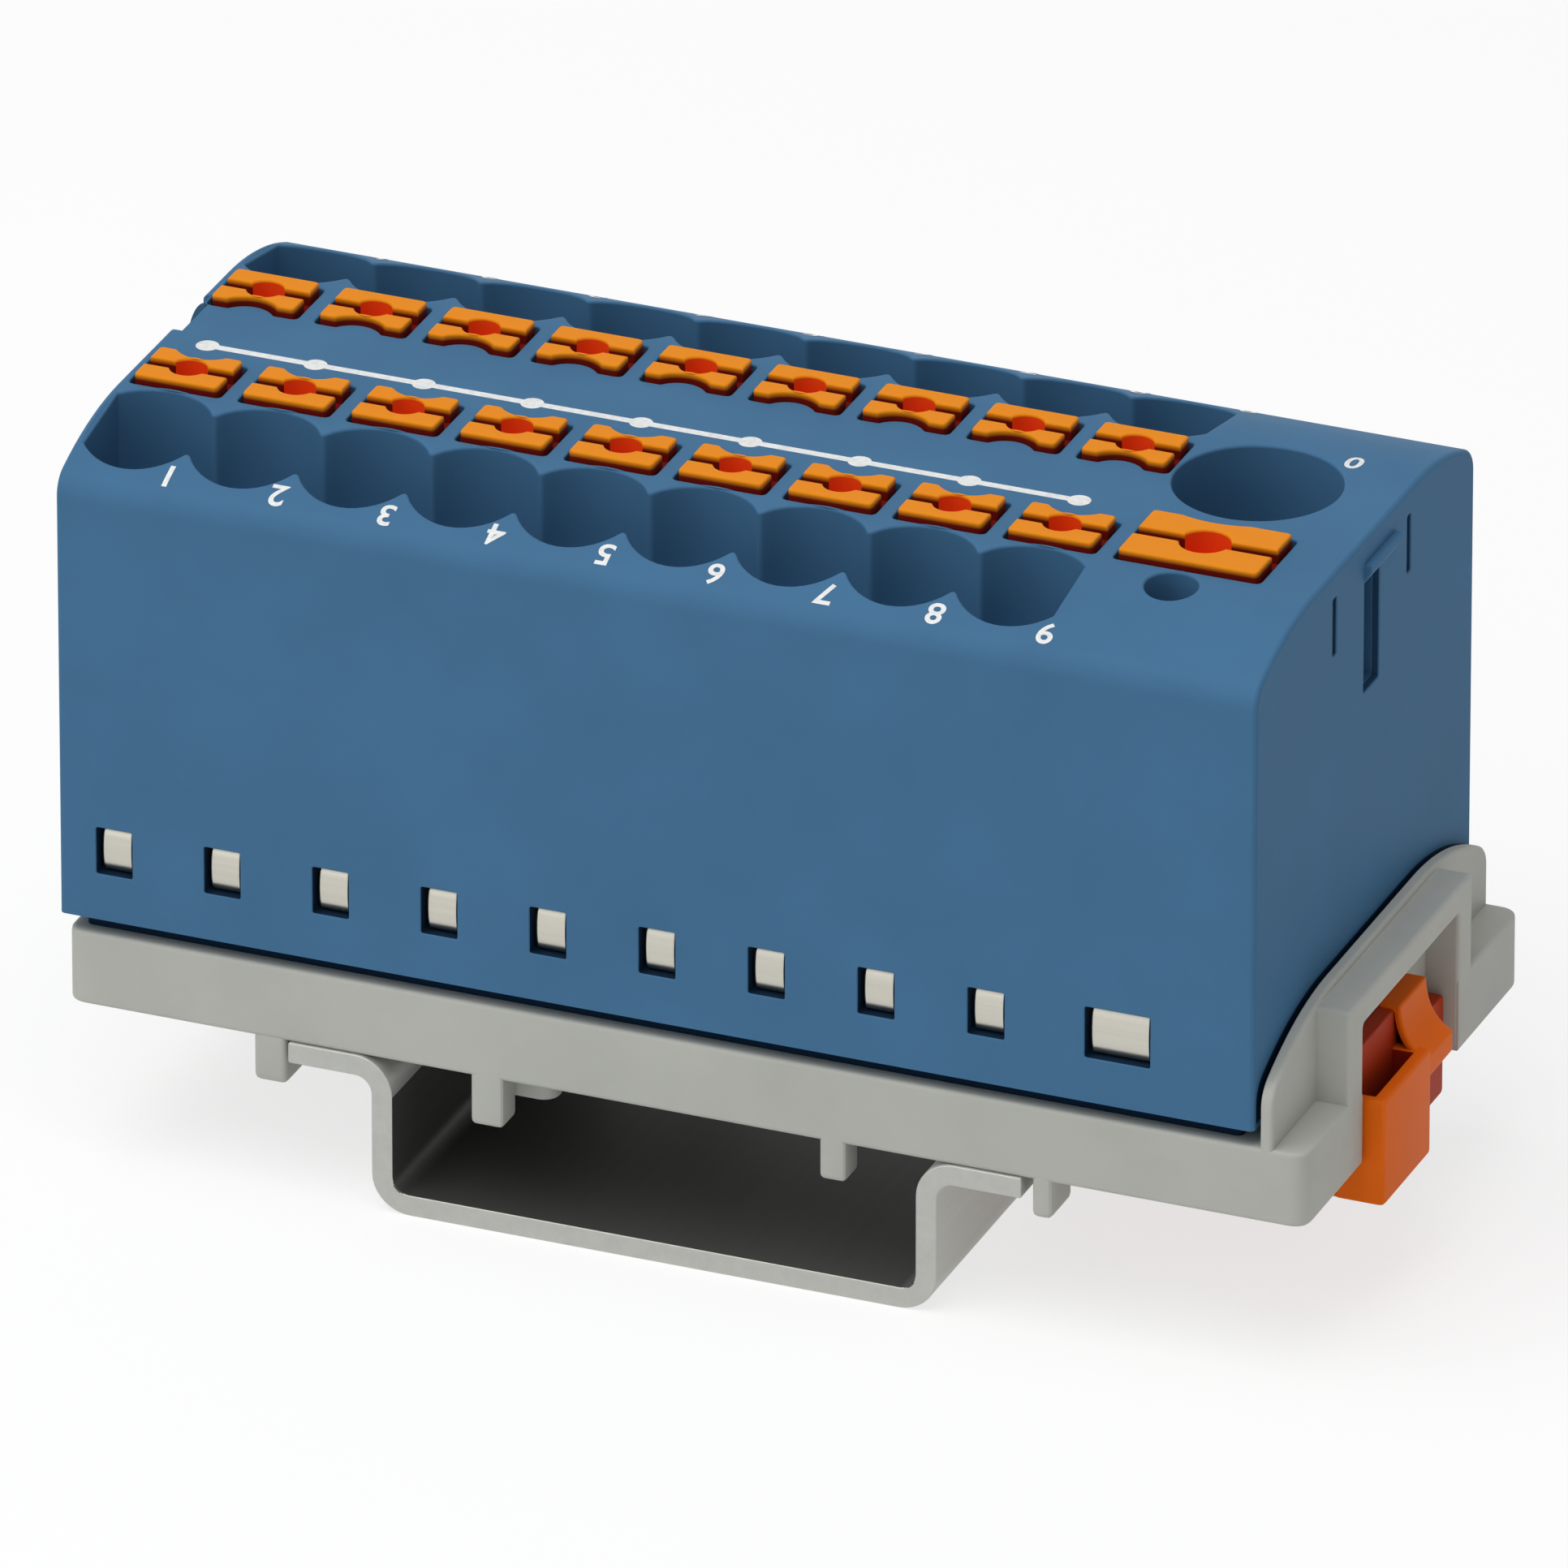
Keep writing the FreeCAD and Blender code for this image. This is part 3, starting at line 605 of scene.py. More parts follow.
def cap(skin, place, outline, rim, floor, holes=()):
    """Rounded rim and walls of a raised form, and its face with holes left open."""
    plate(skin, place, walls(skin, place, outline, rim, floor, hole=False), holes)


def upright(z):
    """Level place at a height, drawn in X and Y and facing up."""
    return Flat((0, 0, z), (1, 0, 0), (0, 1, 0))


def downward(z):
    """Level place at a height that faces down, drawn in Y and leftwards in X."""
    return Flat((0, 0, z), (-1, 0, 0), (0, 1, 0))


def end_on(x):
    """Upright place across the block, drawn in Y and Z and facing right."""
    return Flat((x, 0, 0), (0, 1, 0), (0, 0, 1))


def side_on(y):
    """Upright place along the block, drawn in X and Z and facing front."""
    return Flat((0, y, 0), (1, 0, 0), (0, 0, 1))


def level_floor(z, sign=1):
    """Function that drops a place to a level: drawn from above, or from below where the sign is negative."""
    return lambda a, b: Vector((sign * a, b, z))


def finished(name, skin, body, nodes, material):
    """Makes a skin into a piece of the object, on its body and in the place of its frame nodes."""
    piece = bpy.data.objects.new(name, skin.mesh(name))
    bpy.context.scene.collection.objects.link(piece)
    return settled(piece, body, nodes, material)


def settled(piece, body, nodes, material):
    """Gives a piece its material, its body and the frame nodes that it stands for."""
    piece.data.materials.clear()
    piece.data.materials.append(material)
    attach(piece, body)
    if nodes:
        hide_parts(*nodes)
    return piece


# Materials

def node(tree, kind, links=(), **settings):
    """Adds a node; settings name its properties or inputs, and links are (input, source socket) pairs."""
    made = tree.nodes.new(kind)
    for key, value in settings.items():
        if hasattr(made, key):
            setattr(made, key, value)
        else:
            made.inputs[key.replace("_", " ")].default_value = value
    for target, source in links:
        tree.links.new(source, made.inputs[target])
    return made


def new_material(name, roughness, **constants):
    """Material with its shader, whose fixed values are set on the shader's own sockets."""
    material = bpy.data.materials.new(name)
    material.use_nodes = True
    shader = material.node_tree.nodes["Principled BSDF"]
    shader.inputs["Roughness"].default_value = roughness
    for key, value in constants.items():
        shader.inputs[key.replace("_", " ")].default_value = value
    return material, material.node_tree, shader


def rgba(rgb, factor=1.0):
    """Four channel colour from three, made lighter or darker by a factor."""
    return (rgb[0] * factor, rgb[1] * factor, rgb[2] * factor, 1.0)


def noise(tree, where, size_mm, detail, roughness):
    """Cloudy pattern on the piece's own coordinates, with its clouds about this large."""
    made = node(
        tree, "ShaderNodeTexNoise", [("Vector", where)],
        Scale=1 / (size_mm * MM), Detail=detail, Roughness=roughness,
    )
    return made.outputs["Fac"]


def add_bump(tree, shader, pattern, strength, height_mm):
    """Raised relief from a pattern."""
    bump = node(tree, "ShaderNodeBump", [("Height", pattern)], Strength=strength, Distance=height_mm * MM)
    tree.links.new(bump.outputs["Normal"], shader.inputs["Normal"])


def add_polish(tree, shader, pattern, low, high):
    """Roughness that goes with a pattern from one value to another."""
    polish = node(tree, "ShaderNodeMapRange", [("Value", pattern)], To_Min=low, To_Max=high, clamp=True)
    tree.links.new(polish.outputs["Result"], shader.inputs["Roughness"])


def tone_ramp(tree, factor, stops):
    """Colour ramp through (position, colour) stops, driven by a factor."""
    ramp = node(tree, "ShaderNodeValToRGB", [("Fac", factor)])
    elements = ramp.color_ramp.elements
    while len(elements) < len(stops):
        elements.new(0.5)
    for element, (position, _) in zip(elements, stops):
        element.position = position
    for element, (_, tone) in zip(elements, stops):
        element.color = tone
    return ramp.outputs["Color"]


def moulded_polyamide(name, rgb, hollow=None, depth_shades=(), top_z=0.0, gloss=0.1):
    """Injection moulded polyamide: satin, with a soft broad sheen, fine spark eroded grain and faint clouds
    of colour where the melt flowed. A hollow colour by each face's share, or depth shades below the top,
    paint
    light and shade into hollows: they deepen the colour there, as light that bounces between saturated walls
    does. The lower the gloss, the duller the grain."""
    material, tree, shader = new_material(name, 0.5, IOR=1.53, Specular_IOR_Level=gloss)
    where = node(tree, "ShaderNodeTexCoord").outputs["Object"]
    add_bump(tree, shader, noise(tree, where, 0.16, 2.0, 0.55), 0.22, 0.012)
    cloud = noise(tree, where, 7, 3.0, 0.6)
    if depth_shades:
        split = node(tree, "ShaderNodeSeparateXYZ", [("Vector", where)])
        deepest = depth_shades[-1][0]
        depth = node(
            tree, "ShaderNodeMapRange", [("Value", split.outputs["Z"])],
            From_Min=top_z * MM, From_Max=(top_z - deepest) * MM, clamp=True,
        )
        stops = [(place / deepest, rgba(tone)) for place, tone in depth_shades]
        base = tone_ramp(tree, depth.outputs["Result"], stops)
    else:
        base = tone_ramp(tree, cloud, [(0.3, rgba(rgb, 0.95)), (0.7, rgba(rgb, 1.05))])
    if hollow:
        base = fall_to_hollow(tree, base, hollow)
    tree.links.new(base, shader.inputs["Base Color"])
    add_polish(tree, shader, cloud, 0.46, 0.55)
    return material


def fall_to_hollow(tree, base, hollow):
    """Painted shade: colour that falls from a base to the painted tone of hollows, by the share that each
    face carries.
    """
    share = node(tree, "ShaderNodeAttribute", attribute_name="hollow")
    mixed = node(tree, "ShaderNodeMix", [("Factor", share.outputs["Fac"])], data_type="RGBA")
    tree.links.new(base, mixed.inputs[6])
    mixed.inputs[7].default_value = rgba(hollow)
    return mixed.outputs[2]


def plated_metal(name, rgb, roughness, streak_mm, streak_axis, metallic=1.0, hollow=None):
    """Rolled and plated strip: clear reflections drawn out along the rolling direction, with a faint change
    of tone from streak to streak. A hollow colour paints shade on faces that see little of the room."""
    material, tree, shader = new_material(name, roughness, Metallic=metallic)
    where = node(tree, "ShaderNodeTexCoord").outputs["Object"]
    drawn_out = 60
    stretch = [1 / (streak_mm * MM)] * 3
    stretch[streak_axis] = 1 / (drawn_out * streak_mm * MM)
    spread = node(tree, "ShaderNodeMapping", [("Vector", where)], Scale=stretch)
    streak = node(
        tree, "ShaderNodeTexNoise", [("Vector", spread.outputs["Vector"])],
        Scale=1.0, Detail=3.0, Roughness=0.6,
    ).outputs["Fac"]
    tone = tone_ramp(tree, streak, [(0.25, rgba(rgb, 0.93)), (0.75, rgba(rgb, 1.04))])
    if hollow:
        tone = fall_to_hollow(tree, tone, hollow)
    tree.links.new(tone, shader.inputs["Base Color"])
    add_polish(tree, shader, streak, roughness - 0.06, roughness + 0.08)
    add_bump(tree, shader, streak, 0.12, 0.01)
    return material


def pad_printed_ink(name, rgb):
    """Thin pad printed ink: matt and opaque, a little uneven where the pad lifted."""
    material, tree, shader = new_material(name, 0.6, IOR=1.5)
    where = node(tree, "ShaderNodeTexCoord").outputs["Object"]
    patch = noise(tree, where, 0.25, 2.0, 0.5)
    tone = tone_ramp(tree, patch, [(0.3, rgba(rgb, 0.86)), (0.6, rgba(rgb))])
    tree.links.new(tone, shader.inputs["Base Color"])
    return material


# Housing

def button_outline(x, y, width, depth, notch_x, notch_y, notch_radius, grow, corner):
    """Anticlockwise outline of a button, or its pocket when it grows, with a round notch on one long side."""
    half_width = width / 2 + grow
    half_depth = depth / 2 + grow
    radius = notch_radius - grow
    points = rectangle(x - half_width, y - half_depth, x + half_width, y + half_depth)
    notch_above = notch_y > y
    edge_y = y + half_depth if notch_above else y - half_depth
    reach = math.sqrt(max(0.0, radius ** 2 - (edge_y - notch_y) ** 2))
    if reach < 0.05 or abs(edge_y - notch_y) >= radius:
        return softened(points, corner)
    angle = math.degrees(math.atan2(edge_y - notch_y, reach))
    if notch_above:
        notch = arc(notch_x, notch_y, radius, angle, -180 - angle, 14)
        outline = points[:3] + notch + points[3:]
    else:
        notch = arc(notch_x, notch_y, radius, 180 - angle, angle, 14)
        outline = points[:1] + notch + points[1:]
    low_x, high_x = x - half_width, x + half_width
    kept = [point for point in outline if low_x - 1e-6 <= point[0] <= high_x + 1e-6]
    return softened(kept, corner)


def small_outline(x, side, grow, corner, settings):
    """Outline of a small button, whose notch faces the middle of the housing."""
    chord, rise = 2.4, 0.55
    notch_radius = (chord * chord / 4 + rise * rise) / (2 * rise)
    depth = mm(settings.depth)
    notch_v = BUTTON_V - depth / 2 + rise - notch_radius
    return button_outline(
        x, side * BUTTON_V, mm(settings.width), depth, x, side * notch_v, notch_radius, grow, corner
    )


def feed_outline(grow, corner, settings):
    """Outline of the feed button, whose rear edge follows the feed entry."""
    y = (feed_button_low.y + feed_button_high.y) / 2
    notch_radius = 5.2
    return button_outline(
        FEED_BUTTON_X, y, mm(settings.feed_width), mm(settings.feed_depth), FEED_X, FEED_ENTRY_Y,
        notch_radius, grow, corner,
    )


def row_outline(side, radius):
    """Anticlockwise outline of a row of overlapping round mouths, cut off flat where the row ends and rounded
    where two mouths meet."""
    y = side * MOUTH_V
    low_x = LEFT + FUNNEL_END_WALL
    cusp = math.degrees(math.acos(PITCH / 2 / (radius + CUSP_RADIUS)))
    tip = math.sqrt((radius + CUSP_RADIUS) ** 2 - (PITCH / 2) ** 2)
    end = math.degrees(math.acos((COLUMN_XS[0] - low_x) / radius))
    near = []
    far = []
    last = len(COLUMN_XS) - 1
    for index, x in enumerate(COLUMN_XS):
        left = end if index == 0 else cusp
        right = end if index == last else cusp
        near += arc(x, y, radius, 180 + left, 360 - right, 14)
        far += arc(x, y, radius, 180 - left, right, 14)
        if index < last:
            near += arc(x + PITCH / 2, y - tip, CUSP_RADIUS, 180 - cusp, cusp, 4)[1:-1]
            far += arc(x + PITCH / 2, y + tip, CUSP_RADIUS, cusp - 180, -cusp, 4)[1:-1]
    return near + far[::-1]


def funnel_bore(skin, mouths, centres, radius, throat, ledge_z, cone_depth):
    """Ledge, cone and throat under a group of mouths."""
    cones = [ring(x, y, radius) for x, y in centres]
    throats = [ring(x, y, throat) for x, y in centres]
    plate(skin, upright(ledge_z), mouths, cones)
    slope = math.atan2(radius - throat, cone_depth)
    cone_z = ledge_z - cone_depth
    for cone, bore in zip(cones, throats):
        lines = []
        for line, z, leaning in (
            (cone, ledge_z, True), (bore, cone_z, True), (bore, cone_z, False), (bore, CAVITY_ROOF, False)
        ):
            corners = []
            for (a, b), (away, _) in zip(line, turns(line)):
                normal = Vector((-away.x, -away.y, 0))
                if leaning:
                    normal = normal * math.cos(slope) + Vector((0, 0, math.sin(slope)))
                corners.append((Vector((a, b, z)), normal, normal))
            lines.append(corners)
        skin.band(lines[0], lines[1])
        skin.band(lines[2], lines[3])
    return throats


def level_wall(sign, y, a, b):
    """Place on an upright wall that an outline of a side face drops to."""
    return Vector((sign * a, y, b))


def side_place(side):
    """Front or rear face as a place that is drawn in X and Z."""
    return Flat((0, side * HALF_DEPTH, 0), (-side, 0, 0), (0, 0, 1))


def window_outline(x, side, width, tall):
    """Outline of a window on its side face."""
    middle = -side * x
    low_z, high_z = WINDOW_Z - tall / 2, WINDOW_Z + tall / 2
    return softened(rectangle(middle - width / 2, low_z, middle + width / 2, high_z), 0.12)


def box_walls(skin, low, high, open_side):
    """Inner walls and floor of a cavity between two corners, without the side that is named."""
    outline = rectangle(low.x, low.y, high.x, high.y)
    for name, first, second in zip(("front", "right", "rear", "left"), outline, outline[1:] + outline[:1]):
        if name == open_side:
            continue
        run = Vector((second[0] - first[0], second[1] - first[1], 0)).normalized()
        normal = Vector((-run.y, run.x, 0))
        corners = [(*first, low.z), (*second, low.z), (*second, high.z), (*first, high.z)]
        skin.face([(Vector(corner), normal) for corner in corners])
    plate(skin, upright(low.z), outline)


def build_cavity(skin, low_x, high_x, low_y, high_y, roof_holes, side, window):
    """Cavity of a port: box under the roof, with the holes of its roof and the window of its outer wall."""
    floor_z = BODY_BOTTOM + 0.1
    low = Vector((low_x, low_y, floor_z))
    high = Vector((high_x, high_y, CAVITY_ROOF))
    box_walls(skin, low, high, "front" if side < 0 else "rear")
    roof = from_behind(rectangle(low_x, low_y, high_x, high_y))
    plate(skin, downward(CAVITY_ROOF), roof, [from_behind(hole) for hole in roof_holes])
    inner = Flat((0, side * CAVITY_OUTER, 0), (side, 0, 0), (0, 0, 1))
    near, far = sorted((side * low_x, side * high_x))
    plate(skin, inner, rectangle(near, floor_z, far, CAVITY_ROOF), [from_behind(window)])


def left_notch(skin, form, radius):
    """Walls of the notch that is cut into the top of the left end."""
    back_x = LEFT + NOTCH_DEPTH
    inner_x = LEFT + radius
    for y, facing in ((NOTCH_LOW, 1), (NOTCH_HIGH, -1)):
        corners = []
        for angle in ROUND_ANGLES:
            x = inner_x - radius * math.sin(angle)
            corners.append(Vector((x, y, form.top - radius * (1 - math.cos(angle)))))
        corners += [Vector((LEFT, y, NOTCH_Z)), Vector((back_x, y, NOTCH_Z)), Vector((back_x, y, form.top))]
        skin.face([(corner, Vector((0, facing, 0))) for corner in corners])
    back = [(back_x, y, z) for y, z in rectangle(NOTCH_LOW, NOTCH_Z, NOTCH_HIGH, form.top)]
    skin.face([(Vector(corner), Vector((-1, 0, 0))) for corner in back])
    floor = [(LEFT, NOTCH_LOW), (LEFT, NOTCH_HIGH), (back_x, NOTCH_HIGH), (back_x, NOTCH_LOW)]
    skin.face([(Vector((x, y, NOTCH_Z)), Vector((0, 0, 1))) for x, y in floor])


def housing_form(settings):
    """Form that the housing's top and sides follow."""
    radii = mm(settings.crown_radius), mm(settings.shoulder_radius)
    return Shoulders(HALF_DEPTH, mm(settings.level_half), *radii, TOP, BODY_BOTTOM)


def top_openings(skin, form, settings, buttons):
    """Walls of the mouths, the pockets and the test hole, drawn from above; returns their outlines in the top
    and the openings in the roof of each cavity."""
    rim = mm(settings.rim_radius)
    ledge_z, cone_depth = TOP - 4.2, 2.2
    pocket_corner, pocket_rim = 0.3, 0.1
    clearance = mm(buttons.clearance)
    taken = []

    def cut(outline, rounding, low_z):
        taken.append(walls(skin, form, outline, rounding, level_floor(low_z), hole=True))

    roofs = {}
    for side in (-1, 1):
        mouths = row_outline(side, mm(settings.funnel_radius))
        cut(mouths, rim, ledge_z)
        centres = [(x, side * ENTRY_V) for x in COLUMN_XS]
        throat = mm(settings.throat_radius)
        bores = funnel_bore(skin, mouths, centres, PITCH / 2 - 0.04, throat, ledge_z, cone_depth)
        for x, bore in zip(COLUMN_XS, bores):
            pocket = small_outline(x, side, clearance, pocket_corner, buttons)
            cut(pocket, pocket_rim, CAVITY_ROOF)
            roofs[side, x] = [bore, pocket]
    radius, throat = mm(settings.feed_funnel_radius), mm(settings.feed_throat_radius)
    mouth = ring(FEED_X, FEED_ENTRY_Y, radius, 64)
    cut(mouth, rim, ledge_z)
    bores = funnel_bore(skin, mouth, [(FEED_X, FEED_ENTRY_Y)], radius - 0.3, throat, ledge_z, cone_depth)
    pocket = feed_outline(clearance, pocket_corner, buttons)
    cut(pocket, pocket_rim, CAVITY_ROOF)
    test_hole = ring(FEED_X + 0.2, -7.5, mm(settings.test_hole_radius), 32)
    cut(test_hole, rim, CAVITY_ROOF)
    roofs["feed"] = [*bores, pocket, test_hole]
    return taken, roofs


def side_openings(skin, form, roofs):
    """Windows and the cavities behind them; returns the outlines of the windows along the girth."""
    small_window, feed_window = (1.75, 2.3), (3.1, 2.5)
    cavity_start, cavity_half, feed_cavity_half = 1.8, 2.35, 3.6
    taken = []
    for side in (-1, 1):
        place = side_place(side)
        inner_y = side * CAVITY_OUTER
        near, far = sorted((side * cavity_start, inner_y))
        rooms = []
        for x in COLUMN_XS:
            rooms.append((x, small_window, (x - cavity_half, x + cavity_half, near, far), roofs[side, x]))
        if side < 0:
            low_x, high_x = FEED_BUTTON_X - feed_cavity_half, FEED_BUTTON_X + feed_cavity_half
            rooms.append((FEED_X, feed_window, (low_x, high_x, -CAVITY_OUTER, CAVITY_OUTER), roofs["feed"]))
        for x, size, reach, roof in rooms:
            window = window_outline(x, side, *size)
            floor = partial(level_wall, -side, inner_y)
            # Painted shade: the window walls take the full hollow colour
            top = walls(skin, place, window, WINDOW_RIM, floor, hole=True, hollow=1.0)
            taken.append([(-side * a, form.side_girth(side, b)) for a, b in top])
            build_cavity(skin, *reach, roof, side, window)
    return taken


def top_and_sides(skin, form, end, top_holes, side_holes):
    """Top and both sides as one surface, laid out along its girth from front edge to rear edge."""
    stations = form.stations(GIRTH_STEPS)
    low_x, high_x = LEFT + end, RIGHT - end
    back_x = LEFT + NOTCH_DEPTH
    outer = [(low_x, value) for value in reversed(stations) if value > NOTCH_HIGH]
    outer += [(low_x, NOTCH_HIGH), (back_x, NOTCH_HIGH), (back_x, NOTCH_LOW), (low_x, NOTCH_LOW)]
    outer += [(low_x, value) for value in reversed(stations) if value < NOTCH_LOW]
    outer += [(high_x, value) for value in stations]
    holes = [[(x, form.girth(y)) for x, y in hole] for hole in top_holes] + side_holes
    # Points inside, which keep the long triangles of the rounded stretches even, stay this clear of the holes
    margin, across = 0.15, 84
    clear = [[(x, form.girth(y)) for x, y in grown(hole, margin)] for hole in top_holes]
    boxes = [spans(hole) for hole in clear]
    inner = []
    for girth in stations:
        if not form.flat <= abs(girth) < form.reach:
            continue
        near = [hole for hole, box in zip(clear, boxes) if box[2] < girth < box[3]]
        points = [(low_x + (high_x - low_x) * step / across, girth) for step in range(1, across)]
        inner += [point for point in points if not any(inside(point, hole) for hole in near)]
    for triangle in filled(outer, holes, inner):
        corners = []
        for x, girth in triangle:
            place, facing = form.section(girth)
            corners.append((Vector((x, place.y, place.z)), facing))
        skin.face(corners)


def end_faces(skin, form, end):
    """Rounded ends and end faces; returns, for each end, the lines in which its roundings reach the underside
    or the notch."""
    stations = form.stations(GIRTH_STEPS)
    before_notch = [value for value in stations if value < NOTCH_LOW] + [NOTCH_LOW]
    after_notch = [NOTCH_HIGH] + [value for value in stations if value > NOTCH_HIGH]
    borders = {-1: [], 1: []}
    for sign, runs in ((-1, [before_notch, after_notch]), (1, [stations])):
        face_points = []
        for run in runs:
            lines = []
            for angle in ROUND_ANGLES:
                x = sign * (RIGHT - end + end * math.sin(angle))
                line = []
                for girth in run:
                    place, facing = form.section(girth)
                    normal = facing * math.cos(angle) + Vector((sign * math.sin(angle), 0, 0))
                    point = Vector((x, place.y, place.z)) - facing * (end * (1 - math.cos(angle)))
                    line.append((point, normal, normal))
                lines.append(line)
            for low, high in zip(lines, lines[1:]):
                skin.band(low, high, closed=False)
            face_points.append([(corner.y, corner.z) for corner, _, _ in lines[-1]])
            borders[sign] += [[line[limit][0] for line in lines] for limit in (0, -1)]
        place = Flat((sign * RIGHT, 0, 0), (0, sign, 0), (0, 0, 1))
        if sign < 0:
            outline = face_points[0] + [(NOTCH_LOW, NOTCH_Z), (NOTCH_HIGH, NOTCH_Z)] + face_points[1]
            plate(skin, place, [(-a, b) for a, b in outline])
        else:
            plate(skin, place, face_points[0][::-1], end_slots(skin, place))
    return borders


def build_housing(settings, buttons):
    """Moulded body with its mouths, pockets, cavities, windows and end marks."""
    skin = Skin()
    end = mm(settings.end_radius)
    form = housing_form(settings)
    top_holes, roofs = top_openings(skin, form, settings, buttons)
    side_holes = side_openings(skin, form, roofs)
    top_and_sides(skin, form, end, top_holes, side_holes)
    left, right = end_faces(skin, form, end).values()
    left_notch(skin, form, end)
    under = left[0][::-1] + right[0] + right[-1][::-1] + left[-1]
    plate(skin, downward(BODY_BOTTOM), [(-point.x, point.y) for point in under])
    # Neck that stands on the deck, painted in the hollow colour as the dark shade line under the body
    inset, neck_top = 0.9, BODY_BOTTOM + 0.05
    neck = softened(rectangle(LEFT + inset, inset - HALF_DEPTH, RIGHT - inset, HALF_DEPTH - inset), 0.3)
    # Foot of the end face: a thin sheet painted in the hollow colour, as shade behind the adapter's end wall
    foot = wall_outline(HALF_DEPTH - end - 0.02, adapter_high.z - 0.15, BODY_BOTTOM + end + 0.05)
    with skin.lying(1.0):
        prism(skin, upright(neck_top), neck, neck_top - NECK_BOTTOM, 0)
        prism(skin, end_on(RIGHT + 0.02), foot, 0.06, 0)
    # Tongue over the right end's slot, which fits a neighbour's notch, and the bump below the notch
    root_x, tip_x = RIGHT - 0.2, RIGHT + 0.35
    low_z, tip_z = TOP - 2.1, TOP - 1.55
    ledge = [(root_x, low_z), (RIGHT, low_z), (tip_x, tip_z), (tip_x, NOTCH_Z), (root_x, NOTCH_Z)]
    prism(skin, side_on(NOTCH_LOW), softened(ledge, 0.08), NOTCH_HIGH - NOTCH_LOW, 0.08)
    bump_y, bump_z, bump_radius = 2.8, TOP - 1.48, 1.27
    bump_place = Flat((LEFT + 0.03, 0, 0), (0, -1, 0), (0, 0, 1))
    # Painted shade: the bump takes part of the hollow colour, for the shade it lies in below the notch
    with skin.lying(0.6):
        prism(skin, bump_place, ring(-bump_y, bump_z, bump_radius), NOTCH_DEPTH - 0.05, 0.1)
    return skin


def end_slots(skin, place):
    """Slots of the right end face; returns the outlines that they take out of it."""
    # Lowest and highest corner, depth, and how much deeper the inner part of the slot goes
    slots = [
        (-0.3, TOP - 7.5, 1.6, TOP - 2.1, 0.35, 0.55),
        (-4.1, TOP - 4.0, -3.6, TOP - 1.2, 0.5, 0),
        (4.9, TOP - 4.0, 5.4, TOP - 1.2, 0.5, 0),
    ]
    taken = []
    for low_a, low_b, high_a, high_b, depth, deeper in slots:
        outline = softened(rectangle(low_a, low_b, high_a, high_b), 0.12)
        # Painted shade: slot walls and floors take part of the hollow colour
        taken.append(walls(skin, place, outline, WINDOW_RIM, place.floor(depth), hole=True, hollow=0.7))
        floor = place.sunk(depth)
        with skin.lying(0.2):
            if not deeper:
                plate(skin, floor, outline)
                continue
            margin, step = 0.1, 0.9
            deep = rectangle(low_a + step, low_b + margin, high_a - margin, high_b - margin)
            deep = softened(deep, 0.1)
            plate(skin, floor, outline, [deep])
            walls(skin, floor, deep, 0, floor.floor(deeper), hole=True)
            plate(skin, floor.sunk(deeper), deep)
    return taken


class BLOCK_OT_housing(bpy.types.Operator):
    """Make the moulded housing"""

    bl_idname = "block.housing"
    bl_label = "Housing"

    def execute(self, context):
        scene = context.scene
        skin = build_housing(scene.block_housing, scene.block_buttons)
        settings = scene.block_housing
        material = moulded_polyamide(
            "moulded_polyamide_blue", tuple(settings.plastic), tuple(settings.hollow), gloss=0.03
        )
        finished("housing_shell", skin, "block", ["housing"], material)
        return {"FINISHED"}


# Release buttons

